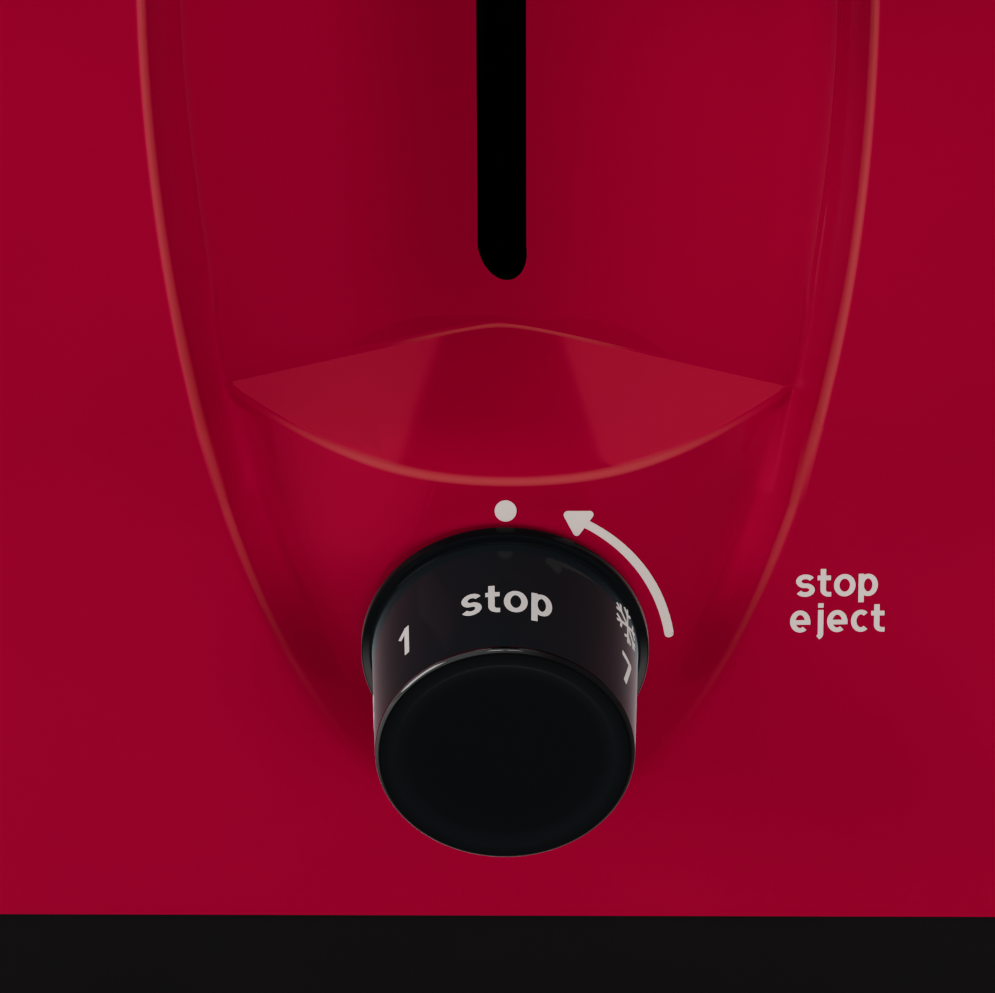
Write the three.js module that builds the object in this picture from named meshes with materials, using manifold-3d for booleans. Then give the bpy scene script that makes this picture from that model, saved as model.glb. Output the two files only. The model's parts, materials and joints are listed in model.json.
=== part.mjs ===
// A two-slice electric toaster with its lever up. Millimetres, +Z up, the control end faces -Y.
// The origin is on the table, under the middle of the toaster and its lever.

import * as THREE from "three";
import { mergeVertices } from "three/addons/utils/BufferGeometryUtils.js";
import Module from "manifold-3d";

const wasm = await Module();
wasm.setup();

// Driving dimensions
const bodyLength = 276;
const bodyWidth = 170;
const bodyHeight = 180;
const cornerRadius = 25;
const topEdgeRadius = 8;
const sideTaper = 2.5;
const wall = 2.5;
const leverOverhang = 24;
const footHeight = 3;
const baseTop = 20;
const knobHeight = 58.4;
const slotLength = 140;
const slotWidth = 32;
const slotSpacing = 50;
const slotShift = 22;

// Clearances and tolerances shared by all the pieces
const overrun = 5;
const touchGap = 0.3;
const looseGap = 0.4;
const weldTolerance = 1e-4;

// Places that many pieces share
const frontY = leverOverhang - (bodyLength + leverOverhang) / 2;
const rearY = frontY + bodyLength;
const slotMiddleY = (frontY + rearY) / 2 + slotShift;
const slotFrontY = slotMiddleY - slotLength / 2;
const slotRearY = slotMiddleY + slotLength / 2;
const slotX = slotSpacing / 2;
const sides = [-1, 1];

// Looks
const look = (color, roughness, metalness) => new THREE.MeshStandardMaterial({ color, roughness, metalness });
const redPlastic = look(0x970029, 0.18, 0);
const blackPlastic = look(0x111011, 0.45, 0);
const glossBlack = look(0x0a0a0c, 0.12, 0);
const blackRubber = look(0x0c0c0c, 0.85, 0);
const zincSteel = look(0xa9adb0, 0.4, 0.9);
const brightSteel = look(0xc4c6c8, 0.25, 1);
const darkFrame = look(0x1b1b1d, 0.35, 0.3);
const aluminium = look(0xb9bcbe, 0.3, 1);
const mica = look(0xb8a98a, 0.6, 0);
const nichrome = look(0x6e6762, 0.45, 0.8);
const copper = look(0x9c4a22, 0.35, 0.8);
const brass = look(0xb9923f, 0.3, 0.9);
const boardGreen = look(0x1e4a2a, 0.5, 0);
const ceramicWhite = look(0xd8d4c8, 0.4, 0);

// A solid for joining and cutting, from a closed geometry
function solid(geometry) {
  const bare = geometry.index ? geometry.toNonIndexed() : geometry.clone();
  bare.deleteAttribute("normal");
  bare.deleteAttribute("uv");
  const merged = mergeVertices(bare, weldTolerance);
  const corners = new Uint32Array(merged.index.array);
  const build = () =>
    new wasm.Manifold(
      new wasm.Mesh({ numProp: 3, vertProperties: merged.attributes.position.array, triVerts: corners }),
    );
  const made = build();
  if (made.volume() > 0) return made;
  for (let i = 0; i < corners.length; i += 3)
    [corners[i + 1], corners[i + 2]] = [corners[i + 2], corners[i + 1]];
  return build();
}

// The geometry of a solid, with flat faces
function geometryOf(made) {
  const mesh = made.getMesh();
  const geometry = new THREE.BufferGeometry();
  const places = new Float32Array(mesh.numVert * 3);
  for (let i = 0; i < mesh.numVert; i++)
    places.set(mesh.vertProperties.subarray(i * mesh.numProp, i * mesh.numProp + 3), i * 3);
  geometry.setAttribute("position", new THREE.BufferAttribute(places, 3));
  geometry.setIndex(new THREE.BufferAttribute(mesh.triVerts, 1));
  const faceted = geometry.toNonIndexed();
  faceted.computeVertexNormals();
  return faceted;
}

const join = (...pieces) => pieces.flat().reduce((a, b) => a.add(b));
const cut = (piece, ...tools) => tools.flat().reduce((a, b) => a.subtract(b), piece);

// A box between two places on each axis
function block([x0, x1], [y0, y1], [z0, z1]) {
  const box = new THREE.BoxGeometry(x1 - x0, y1 - y0, z1 - z0);
  box.translate((x0 + x1) / 2, (y0 + y1) / 2, (z0 + z1) / 2);
  return solid(box);
}

// A round rod along one axis, from one place to another, at a point of the other two axes
function rod(axis, radius, [from, to], [a, b], steps = 16) {
  const cylinder = new THREE.CylinderGeometry(radius, radius, to - from, steps);
  const middle = (from + to) / 2;
  if (axis === "x") cylinder.rotateZ(Math.PI / 2).translate(middle, a, b);
  if (axis === "y") cylinder.translate(a, middle, b);
  if (axis === "z") cylinder.rotateX(Math.PI / 2).translate(a, b, middle);
  return solid(cylinder);
}

// Prisms: an outline in the other two axes, carried along one axis
function prism(shape, from, to, place, curveSegments) {
  const body = new THREE.ExtrudeGeometry(shape, { depth: to - from, bevelEnabled: false, curveSegments });
  body.translate(0, 0, from);
  body.applyMatrix4(place);
  return solid(body);
}
const zUp = new THREE.Matrix4();
const zToX = new THREE.Matrix4().set(0, 0, 1, 0, 1, 0, 0, 0, 0, 1, 0, 0, 0, 0, 0, 1);
const zToY = new THREE.Matrix4().set(1, 0, 0, 0, 0, 0, 1, 0, 0, 1, 0, 0, 0, 0, 0, 1);
const prismX = (shape, x0, x1, segments = 6) => prism(shape, x0, x1, zToX, segments);
const prismY = (shape, y0, y1, segments = 6) => prism(shape, y0, y1, zToY, segments);
const prismZ = (shape, z0, z1, segments = 6) => prism(shape, z0, z1, zUp, segments);

const polygon = (points) => new THREE.Shape(points.map(([a, b]) => new THREE.Vector2(a, b)));

// An upright rectangle with round corners, in the plane of a prism
const roundLimitShare = 0.49;
function roundRectangle([a0, a1], [b0, b1], wanted) {
  const radius = Math.min(wanted, roundLimitShare * (a1 - a0), roundLimitShare * (b1 - b0));
  const shape = new THREE.Shape();
  shape.absarc(a1 - radius, b1 - radius, radius, 0, Math.PI / 2);
  shape.absarc(a0 + radius, b1 - radius, radius, Math.PI / 2, Math.PI);
  shape.absarc(a0 + radius, b0 + radius, radius, Math.PI, Math.PI * 1.5);
  shape.absarc(a1 - radius, b0 + radius, radius, Math.PI * 1.5, Math.PI * 2);
  return shape;
}

// A turned piece: its profile is a list of radius and height, and its axis is +Z
function turned(profile, steps = 32) {
  const lathe = new THREE.LatheGeometry(profile.map(([r, z]) => new THREE.Vector2(r, z)), steps);
  lathe.rotateX(Math.PI / 2);
  return solid(lathe);
}

// A skin through rings of as many points each, closed by a fan at both ends
function loft(rings) {
  const places = [];
  const triangle = (...corners) => corners.forEach((corner) => places.push(corner.x, corner.y, corner.z));
  const middleOf = (ring) =>
    ring.reduce((sum, p) => sum.add(p), new THREE.Vector3()).divideScalar(ring.length);
  const count = rings[0].length;
  for (let level = 0; level + 1 < rings.length; level++)
    for (let i = 0; i < count; i++) {
      const next = (i + 1) % count;
      triangle(rings[level][i], rings[level][next], rings[level + 1][next]);
      triangle(rings[level][i], rings[level + 1][next], rings[level + 1][i]);
    }
  const first = rings[0];
  const last = rings[rings.length - 1];
  const bottom = middleOf(first);
  const top = middleOf(last);
  for (let i = 0; i < count; i++) {
    const next = (i + 1) % count;
    triangle(bottom, first[next], first[i]);
    triangle(top, last[i], last[next]);
  }
  const geometry = new THREE.BufferGeometry();
  geometry.setAttribute("position", new THREE.Float32BufferAttribute(places, 3));
  return solid(geometry);
}

const toaster = new THREE.Group();

function add(name, made, material, place = [0, 0, 0]) {
  const mesh = new THREE.Mesh(geometryOf(made), material);
  mesh.name = name;
  mesh.position.set(...place);
  toaster.add(mesh);
  return mesh;
}

// Plan of the body: a rounded rectangle that is drawn in by an inset, and by the taper of its long sides
const topFlange = 1.5;
const housingTop = bodyHeight - topFlange;
const housingBottom = baseTop;
const planCornerSteps = 7;

function planRing(inset, z) {
  const lean = (sideTaper * Math.max(0, z - housingBottom)) / (housingTop - housingBottom);
  const halfWidth = bodyWidth / 2 - lean - inset;
  const radius = cornerRadius - inset;
  const ring = [];
  const corner = (x, y, quarter) => {
    for (let i = 0; i <= planCornerSteps; i++) {
      const angle = ((quarter + i / planCornerSteps) * Math.PI) / 2;
      ring.push(new THREE.Vector3(x + radius * Math.cos(angle), y + radius * Math.sin(angle), z));
    }
  };
  corner(halfWidth - radius, rearY - inset - radius, 0);
  corner(radius - halfWidth, rearY - inset - radius, 1);
  corner(radius - halfWidth, frontY + inset + radius, 2);
  corner(halfWidth - radius, frontY + inset + radius, 3);
  return ring;
}

// The body's outside drawn in by an inset, with its round top edge
function bodyBlock(inset, bottom) {
  const edgeSteps = 5;
  const radius = topEdgeRadius - inset;
  const top = housingTop - inset;
  const rings = [planRing(inset, bottom)];
  for (let i = 0; i <= edgeSteps; i++) {
    const angle = (i / edgeSteps) * (Math.PI / 2);
    rings.push(planRing(inset + radius * (1 - Math.cos(angle)), top - radius * (1 - Math.sin(angle))));
  }
  return loft(rings);
}

// Recess in the control end: heights here count from the knob's axis, and depths from the end face
const recessHalfWidth = 38;
const recessTopMargin = 9.6;
const recessTip = 28;
const recessAboveWaist = 27;
const recessWaist = bodyHeight - recessTopMargin - recessAboveWaist - knobHeight;
const recessBelowWaist = recessWaist + recessTip;
const recessTopPower = 3;
const recessEdge = 0.8;
const recessWallAngle = 67.5;
const troughDepth = 12.8;
const troughFlank = 0.165;
const troughRound = 3.5;
const ledgeLip = 21.3;
const platformDrop = 7.7;
const platformReach = 31.1;
const platformPower = 2.4;
const recessWallRun = 1 / Math.tan((recessWallAngle * Math.PI) / 180);

const troughAt = (x) => troughDepth - troughFlank * (Math.hypot(x, troughRound) - troughRound);
const platformAt = (x) => platformDrop * Math.pow(Math.abs(x) / platformReach, platformPower);

// The recess's outline: half an ellipse below its waist, and a blunter round above it
function recessOutline() {
  const upperSteps = 16;
  const lowerSteps = 32;
  const points = [];
  const power = 2 / recessTopPower;
  for (let i = 0; i < upperSteps; i++) {
    const angle = (i / upperSteps) * Math.PI;
    const across = Math.sign(Math.cos(angle)) * Math.pow(Math.abs(Math.cos(angle)), power);
    const rise = Math.pow(Math.sin(angle), power);
    points.push([recessHalfWidth * across, recessWaist + recessAboveWaist * rise]);
  }
  for (let i = 0; i < lowerSteps; i++) {
    const angle = (1 + i / lowerSteps) * Math.PI;
    points.push([recessHalfWidth * Math.cos(angle), recessWaist + recessBelowWaist * Math.sin(angle)]);
  }
  return points;
}

// A ring of the outline moved outwards by an offset, at a depth
function recessRing(outline, offset, depth) {
  const count = outline.length;
  return outline.map(([x, h], i) => {
    const [xa, ha] = outline[(i + count - 1) % count];
    const [xb, hb] = outline[(i + 1) % count];
    const long = Math.hypot(xb - xa, hb - ha);
    const outX = (hb - ha) / long;
    const outH = (xa - xb) / long;
    return new THREE.Vector3(x + outX * offset, frontY + depth, knobHeight + h + outH * offset);
  });
}

// A prism behind the end face, as deep as a curve across the face says
function depthPrism(depthAt, extra) {
  const steps = 16;
  const reach = recessHalfWidth + extra + overrun;
  const points = [[reach, frontY - overrun], [-reach, frontY - overrun]];
  for (let i = 0; i <= steps; i++) {
    const x = reach * ((2 * i) / steps - 1);
    points.push([x, frontY + depthAt(x) + extra]);
  }
  const bottom = knobHeight + recessWaist - recessBelowWaist - extra - overrun;
  const top = knobHeight + recessWaist + recessAboveWaist + extra + overrun;
  return prismZ(polygon(points), bottom, top);
}

// The space of the recess, grown on every side by a wall
function recessSpace(grown) {
  const outline = recessOutline();
  const deep = troughDepth + grown + overrun;
  const funnel = loft([
    recessRing(outline, recessEdge + grown, -overrun),
    recessRing(outline, recessEdge + grown, 0),
    recessRing(outline, grown, recessEdge),
    recessRing(outline, grown - (deep - recessEdge) * recessWallRun, deep),
  ]);
  const trough = depthPrism(troughAt, grown);
  const platform = depthPrism(platformAt, grown);
  const lip = knobHeight + ledgeLip - grown * Math.SQRT2;
  const above = recessWaist + recessAboveWaist - ledgeLip + grown + overrun;
  const ledge = prismX(
    polygon([
      [frontY - overrun, lip - overrun],
      [frontY + above, lip + above],
      [frontY - overrun, lip + above],
    ]),
    -recessHalfWidth - grown - overrun,
    recessHalfWidth + grown + overrun,
  );
  return funnel.intersect(trough).intersect(join(platform, ledge));
}

// Lever arm and the slot that it slides in, whose lower end lies above the ledge
const armThickness = 3;
const armHeight = 7;
const armDrop = 17.5;
const armTop = bodyHeight - armDrop;
const leverSlotWidth = 5.3;
const leverSlotEnd = 1.6;
const leverSlotRise = 39.5;
const leverTravel = armTop - armHeight - leverSlotEnd - leverSlotRise - knobHeight;
const armMiddle = armTop - armHeight / 2;

// Timer behind the knob
const shaftRadius = 3;
const bushingRadius = 4.6;

// Screw bosses in the corners, on the corner's diagonal
const bossRadius = 4.5;
const bossBite = 1;
const bossHeight = 30;
const screwRadius = 1.5;
const spigotHeight = 4;
const bossDistance = cornerRadius - wall - bossRadius + bossBite;
const bossX = bodyWidth / 2 - cornerRadius + bossDistance * Math.SQRT1_2;
const bossFrontY = frontY + cornerRadius - bossDistance * Math.SQRT1_2;
const bossRearY = rearY - cornerRadius + bossDistance * Math.SQRT1_2;
const bossPlaces = sides.flatMap((side) => [bossFrontY, bossRearY].map((y) => [side * bossX, y]));

// Opening in the housing's top, under the slot frame
const slotFrameMargin = 9;
const slotFrameLap = 4;
const topOpeningX = slotX + slotWidth / 2 + slotFrameMargin - slotFrameLap;
const topOpeningFrontY = slotFrontY - slotFrameMargin + slotFrameLap;
const topOpeningRearY = slotRearY + slotFrameMargin - slotFrameLap;
const topOpeningRadius = 6;

function makeHousing() {
  const outside = bodyBlock(0, housingBottom);
  const cavity = cut(bodyBlock(wall, housingBottom - overrun), recessSpace(wall));
  const bossBottom = housingBottom + spigotHeight + touchGap;
  const bosses = bossPlaces.map((place) =>
    rod("z", bossRadius, [bossBottom, bossBottom + bossHeight], place),
  );
  const pilots = bossPlaces.map((place) =>
    rod("z", screwRadius + touchGap, [bossBottom - overrun, bossBottom + bossHeight - wall], place, 10),
  );
  const slot = roundRectangle(
    [-leverSlotWidth / 2, leverSlotWidth / 2],
    [armMiddle - armHeight / 2 - leverTravel - leverSlotEnd, armTop + leverSlotEnd],
    leverSlotWidth / 2,
  );
  const topOpening = prismZ(
    roundRectangle([-topOpeningX, topOpeningX], [topOpeningFrontY, topOpeningRearY], topOpeningRadius),
    housingTop - wall - overrun,
    housingTop + overrun,
    4,
  );
  const shell = cut(outside, cavity, recessSpace(0), topOpening);
  return cut(
    join(shell, bosses.map((boss) => boss.intersect(outside))),
    pilots,
    prismY(slot, frontY, frontY + troughDepth + wall + overrun, 5),
    rod("y", bushingRadius + looseGap, [frontY - overrun, frontY + wall + overrun], [0, knobHeight], 20),
  );
}
add("housing", makeHousing(), redPlastic);

// Frame around the bread slots, on the housing's top
const skirtWall = 1.2;
const skirtDepth = 14;
const slotCorner = 5;
const flangeChamfer = 0.8;
const rimDepth = 4.5;
const skirtBottom = bodyHeight - skirtDepth;

function makeTopFrame() {
  const lap = slotFrameLap;
  const outline = (inset, radius) =>
    roundRectangle(
      [-topOpeningX + inset, topOpeningX - inset],
      [topOpeningFrontY + inset, topOpeningRearY - inset],
      radius - inset,
    );
  const plate = join(
    prismZ(outline(-lap, topOpeningRadius), housingTop, bodyHeight - flangeChamfer, 4),
    prismZ(outline(flangeChamfer - lap, topOpeningRadius), housingTop, bodyHeight, 4),
  );
  const rim = cut(
    prismZ(outline(looseGap, topOpeningRadius), housingTop - rimDepth, housingTop + topFlange / 2, 4),
    prismZ(outline(looseGap + skirtWall, topOpeningRadius), housingTop - rimDepth - overrun, housingTop, 4),
  );
  const slotOutline = (side, grown) =>
    roundRectangle(
      [side * slotX - slotWidth / 2 - grown, side * slotX + slotWidth / 2 + grown],
      [slotFrontY - grown, slotRearY + grown],
      slotCorner + grown,
    );
  const skirtTop = bodyHeight - topFlange / 2;
  const skirts = sides.map((side) => prismZ(slotOutline(side, skirtWall), skirtBottom, skirtTop, 3));
  const slots = sides.map((side) =>
    prismZ(slotOutline(side, 0), skirtBottom - overrun, bodyHeight + overrun, 3),
  );
  return cut(join(plate, rim, skirts), slots);
}
add("top_frame", makeTopFrame(), darkFrame);

// Crumb tray, its pull and its place in the base
const trayHalfWidth = 46;
const trayBottom = 9;
const trayDepth = 8;
const traySheet = 1;
const traySideGap = 0.5;
const pullDepth = 4;
const pullHeight = 9.4;
const pullLip = 1;
const scoopRadius = 5;
const scoopHalfWidth = 22;

// Base
const baseInset = 1;
const baseFloor = 2.5;
const baseChamfer = 2;
const spigotWall = 2;
const runnerWidth = 2;
const floorTop = footHeight + baseFloor;
const spigotInset = wall + touchGap;
const pocketInset = spigotInset + spigotWall;
const baseRearY = rearY - baseInset;
const pocketRearY = rearY - pocketInset;
const trayRearY = pocketRearY;
const trayFrontY = slotFrontY - runnerWidth / 2;

const ventRows = 5;
const ventHalfWidth = 2;
const ventMargin = 3;

// Feet
const footRadius = 8;
const footInset = 28;
const footStemRadius = 2.4;
const footBeadRadius = 3.2;
const footBeadHeight = 2;
const footX = bodyWidth / 2 - footInset - runnerWidth / 2;
const footPlaces = sides.flatMap((side) =>
  [frontY + footInset, rearY - footInset].map((y) => [side * footX, y]),
);

// Screws and their seats
const screwHeadRadius = 3.2;
const screwHeadHeight = 2.4;
const screwHeadSink = 6;
const postRadius = bossRadius + touchGap * 2;
const screwHeadSeat = footHeight + screwHeadSink;

// Oven: chassis plates outside the slots' ends, heaters beside and between the slots
const plateSheet = 1.2;
const plateGap = 3;
const plateFrontY = slotFrontY - plateGap;
const plateRearY = slotRearY + plateGap;
const plateHalfWidth = 60;
const plateClearance = 6;
const plateTop = skirtBottom - plateClearance;
const plateFootDepth = 10;
const plateFootInner = trayHalfWidth + traySideGap + runnerWidth;
const plateScrewX = (plateFootInner + plateHalfWidth) / 2;
const plateScrewSetback = plateFootDepth / 2 + plateSheet;
const heaterX = 47;
const boardSheet = 1;
const boardBottom = 30;
const boardDrop = 4;
const boardTop = plateTop - boardDrop;
const boardTabHeight = 10;
const boardTabInset = 4;
const boardTabReach = 2.5;
const reflectorX = 53;
const reflectorSheet = 0.8;

// Bread carriage in front of the oven
const carriageSheet = 1.5;
const restSheet = 1.2;
const restHeight = 12;
const restBottom = boardBottom + leverTravel;
const restTabHalf = 6;
const restTabWidth = 2;
const restTabs = 9;
const restReach = 5;
const carriageGap = 5.8;
const carriageRearY = plateFrontY - plateSheet - carriageGap;
const carriageFrontY = carriageRearY - carriageSheet;
const rodRadius = 2.5;
const bushRadius = 6;
const rodY = carriageFrontY - bushRadius - carriageSheet / 3;
const carriageBarHalf = 34;
const carriageBarMargin = 2;
const towerHalf = 7;
const carriageTop = armTop + carriageSheet;
const wingHalf = 26;
const wingDrop = 42;
const wingTop = carriageTop - wingDrop;
const wingHeight = 14;
const tabDepth = 18;
const tabInner = 10;
const bushLength = 52;
const tabBottom = wingTop - carriageSheet;

// Magnet under the armature
const armatureThickness = 3;
const armatureInset = 1;
const magnetX = (tabInner + wingHalf) / 2;
const magnetHalfWidth = 4;
const magnetLeg = 4;
const magnetSpan = tabDepth;
const yokeHeight = 4;
const magnetBottom = 30;
const armatureBottom = tabBottom - armatureThickness;
const magnetTop = armatureBottom - leverTravel - touchGap;
const magnetRearY = carriageFrontY - touchGap * 2;
const magnetFrontY = magnetRearY - magnetSpan;

// Rod's anchor at the top of the front plate, and the rod's seat in the base
const anchorClearance = 4;
const anchorHeight = carriageTop + anchorClearance;
const anchorHalf = 22;
const anchorDepth = 16;
const rodSeatRadius = 5.5;
const rodSeatFloor = 3;

// Control board and the timer
const boardX = 40;
const boardSetback = 22;
const boardY = frontY + boardSetback;
const controlSheet = 1.6;
const controlBottom = 24;
const controlTop = 92;
const guideBlock = 4;
const guideLip = 2;
const guideRise = 10;
const timerHalf = 9;
const timerDepth = 9;

// Mains contacts and cord inlet
const contactX = 19;
const contactHalf = 7;
const contactSetback = 10;
const contactRearY = carriageFrontY - contactSetback;
const contactDepth = 14;
const contactStep = 44;
const contactPost = 50;
const contactPostDepth = 8;
const leafHalf = 2.5;
const leafSheet = 0.5;
const leafReach = 8;
const bushBore = 3.2;
const bushNeck = 4.2;
const bushFlange = 5.5;
const bushFlangeDepth = 1;
const cordX = trayHalfWidth + traySideGap + runnerWidth + bushFlange;
const cordZ = (floorTop + baseTop) / 2 - bushFlangeDepth / 2;

function makeBase() {
  const band = loft([
    planRing(baseInset + baseChamfer, footHeight),
    planRing(baseInset, footHeight + baseChamfer),
    planRing(baseInset, baseTop),
  ]);
  const spigot = loft([planRing(spigotInset, floorTop), planRing(spigotInset, baseTop + spigotHeight)]);
  const envelope = join(band, spigot);
  const pocketTop = baseTop + spigotHeight + overrun;
  const pocket = loft([planRing(pocketInset, floorTop), planRing(pocketInset, pocketTop)]);
  const trayWall = trayHalfWidth + traySideGap;
  const runnerTop = trayBottom - touchGap;
  const trayTop = trayBottom + trayDepth;
  const plateEnds = [
    [plateFrontY - plateSheet - plateFootDepth, plateFrontY],
    [plateRearY, plateRearY + plateSheet + plateFootDepth],
  ];
  const inside = join(
    bossPlaces.map((place) => rod("z", postRadius, [footHeight, baseTop + spigotHeight], place)),
    sides.flatMap((side) => [
      block(
        [side * trayWall, side * (trayWall + runnerWidth)].sort((a, b) => a - b),
        [trayFrontY, pocketRearY + touchGap],
        [footHeight + baseFloor / 2, trayTop],
      ),
      block(
        [(side * trayHalfWidth) / 2 - runnerWidth / 2, (side * trayHalfWidth) / 2 + runnerWidth / 2],
        [trayFrontY, pocketRearY - runnerWidth],
        [footHeight + baseFloor / 2, runnerTop],
      ),
      ...plateEnds.map((ends) =>
        block(
          [side * plateFootInner, side * plateHalfWidth].sort((a, b) => a - b),
          ends,
          [footHeight + baseFloor / 2, baseTop],
        ),
      ),
      block(
        [side * boardX - guideBlock / 2, side * boardX + guideBlock / 2],
        [boardY - guideLip, boardY + controlSheet + guideLip],
        [footHeight + baseFloor / 2, controlBottom + guideRise],
      ),
    ]),
    block(
      [-trayWall - runnerWidth, trayWall + runnerWidth],
      [trayFrontY - runnerWidth, trayFrontY],
      [footHeight + baseFloor / 2, trayTop],
    ),
    rod("z", rodSeatRadius, [footHeight + baseFloor / 2, baseTop], [0, rodY]),
    block(
      [-magnetX - magnetHalfWidth, -magnetX + magnetHalfWidth],
      [magnetFrontY, magnetRearY],
      [footHeight + baseFloor / 2, magnetBottom],
    ),
  );
  const vents = [];
  for (const column of [-1, 0, 1])
    for (let row = 0; row < ventRows; row++) {
      const x = (column * trayHalfWidth * 3) / 4;
      const half = column === 0 ? trayHalfWidth / 2 - ventMargin : trayHalfWidth / 4 - ventMargin;
      const y = slotFrontY + (slotLength * (row + 0.5)) / ventRows;
      const ends = [y - ventHalfWidth, y + ventHalfWidth];
      const outline = roundRectangle([x - half, x + half], ends, ventHalfWidth);
      vents.push(prismZ(outline, footHeight - overrun, floorTop + overrun, 2));
    }
  const screwHoles = bossPlaces.flatMap((place) => [
    rod("z", screwRadius + touchGap, [footHeight, baseTop + overrun], place, 10),
    rod("z", screwHeadRadius + touchGap, [footHeight - overrun, screwHeadSeat], place, 14),
  ]);
  const plateHoles = sides.flatMap((side) =>
    [plateFrontY - plateScrewSetback, plateRearY + plateScrewSetback].map((y) =>
      rod(
        "z",
        screwRadius + touchGap,
        [floorTop + baseFloor, baseTop + overrun],
        [side * plateScrewX, y],
        10,
      ),
    ),
  );
  const footHoles = footPlaces.map((place) =>
    rod("z", footStemRadius + touchGap, [footHeight - overrun, floorTop + overrun], place, 12),
  );
  const boardGroove = block(
    [-boardX - guideBlock, boardX + guideBlock],
    [boardY - touchGap, boardY + controlSheet + touchGap],
    [controlBottom, controlBottom + guideRise + overrun],
  );
  const trayOpening = block(
    [-trayWall, trayWall],
    [pocketRearY - runnerWidth, rearY + overrun],
    [trayBottom - touchGap * 2, trayBottom + pullHeight + touchGap],
  );
  return cut(
    join(cut(envelope, pocket), inside.intersect(envelopeOf(envelope))),
    vents,
    screwHoles,
    plateHoles,
    footHoles,
    boardGroove,
    trayOpening,
    rod("z", rodRadius + touchGap, [floorTop + rodSeatFloor, baseTop + overrun], [0, rodY], 16),
    rod("y", bushNeck + touchGap, [pocketRearY - overrun, rearY + overrun], [cordX, cordZ], 16),
  );
}

// Inner posts stay inside the base's outside, and rise free above it in the middle
function envelopeOf(envelope) {
  const free = loft([planRing(pocketInset, footHeight), planRing(pocketInset, housingTop)]);
  return join(envelope, free);
}
add("base", makeBase(), blackPlastic);

// Feet: a pad under the base, a stem through its floor and a bead above it
footPlaces.forEach(([x, y], i) => {
  const padEdge = 0.8;
  const foot = turned([
    [0, 0],
    [footRadius - padEdge, 0],
    [footRadius, padEdge],
    [footRadius, footHeight],
    [footStemRadius, footHeight],
    [footStemRadius, floorTop + touchGap],
    [footBeadRadius, floorTop + touchGap],
    [footStemRadius, floorTop + touchGap + footBeadHeight],
    [0, floorTop + touchGap + footBeadHeight],
  ], 16);
  add("foot_" + (i + 1), foot, blackRubber, [x, y, 0]);
});

// A pan-head screw with its head's seat at the origin, its shank along +Z and a slot across its head
const screwSlotWidth = 0.8;
function panScrew(length) {
  const dome = screwHeadHeight / 4;
  const body = turned([
    [0, -screwHeadHeight],
    [screwHeadRadius - dome, -screwHeadHeight],
    [screwHeadRadius, -screwHeadHeight + dome],
    [screwHeadRadius, 0],
    [screwRadius, 0],
    [screwRadius, length],
    [0, length],
  ], 10);
  const slot = block(
    [-screwHeadRadius - overrun, screwHeadRadius + overrun],
    [-screwSlotWidth / 2, screwSlotWidth / 2],
    [-screwHeadHeight - overrun, -screwHeadHeight / 2],
  );
  return cut(body, slot);
}

bossPlaces.forEach(([x, y], i) => {
  const length = baseTop - screwHeadSeat + spigotHeight + bossHeight / 2;
  add("base_screw_" + (i + 1), panScrew(length), zincSteel, [x, y, screwHeadSeat]);
});

// Chassis plates: pressed sheet with a folded foot at each side, slots for the tabs of the heater boards and
// reflectors, a tall slot for each bread rest and a hole for each guard's pivot wire
const guardOffset = 14;
const guardPivotHeight = 31;
const guardWire = 1;
const guardDrop = 11;
const guardTop = plateTop - guardDrop;
const restSlotHalf = restSheet / 2 + 1;
const restSlotBottom = restBottom - leverTravel - carriageSheet;
const restSlotTop = restBottom + restHeight + restSheet + restReach;
const plateCorner = 12;
const tabLevels = [boardBottom + boardTabInset, boardTop - boardTabInset - boardTabHeight];

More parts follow.
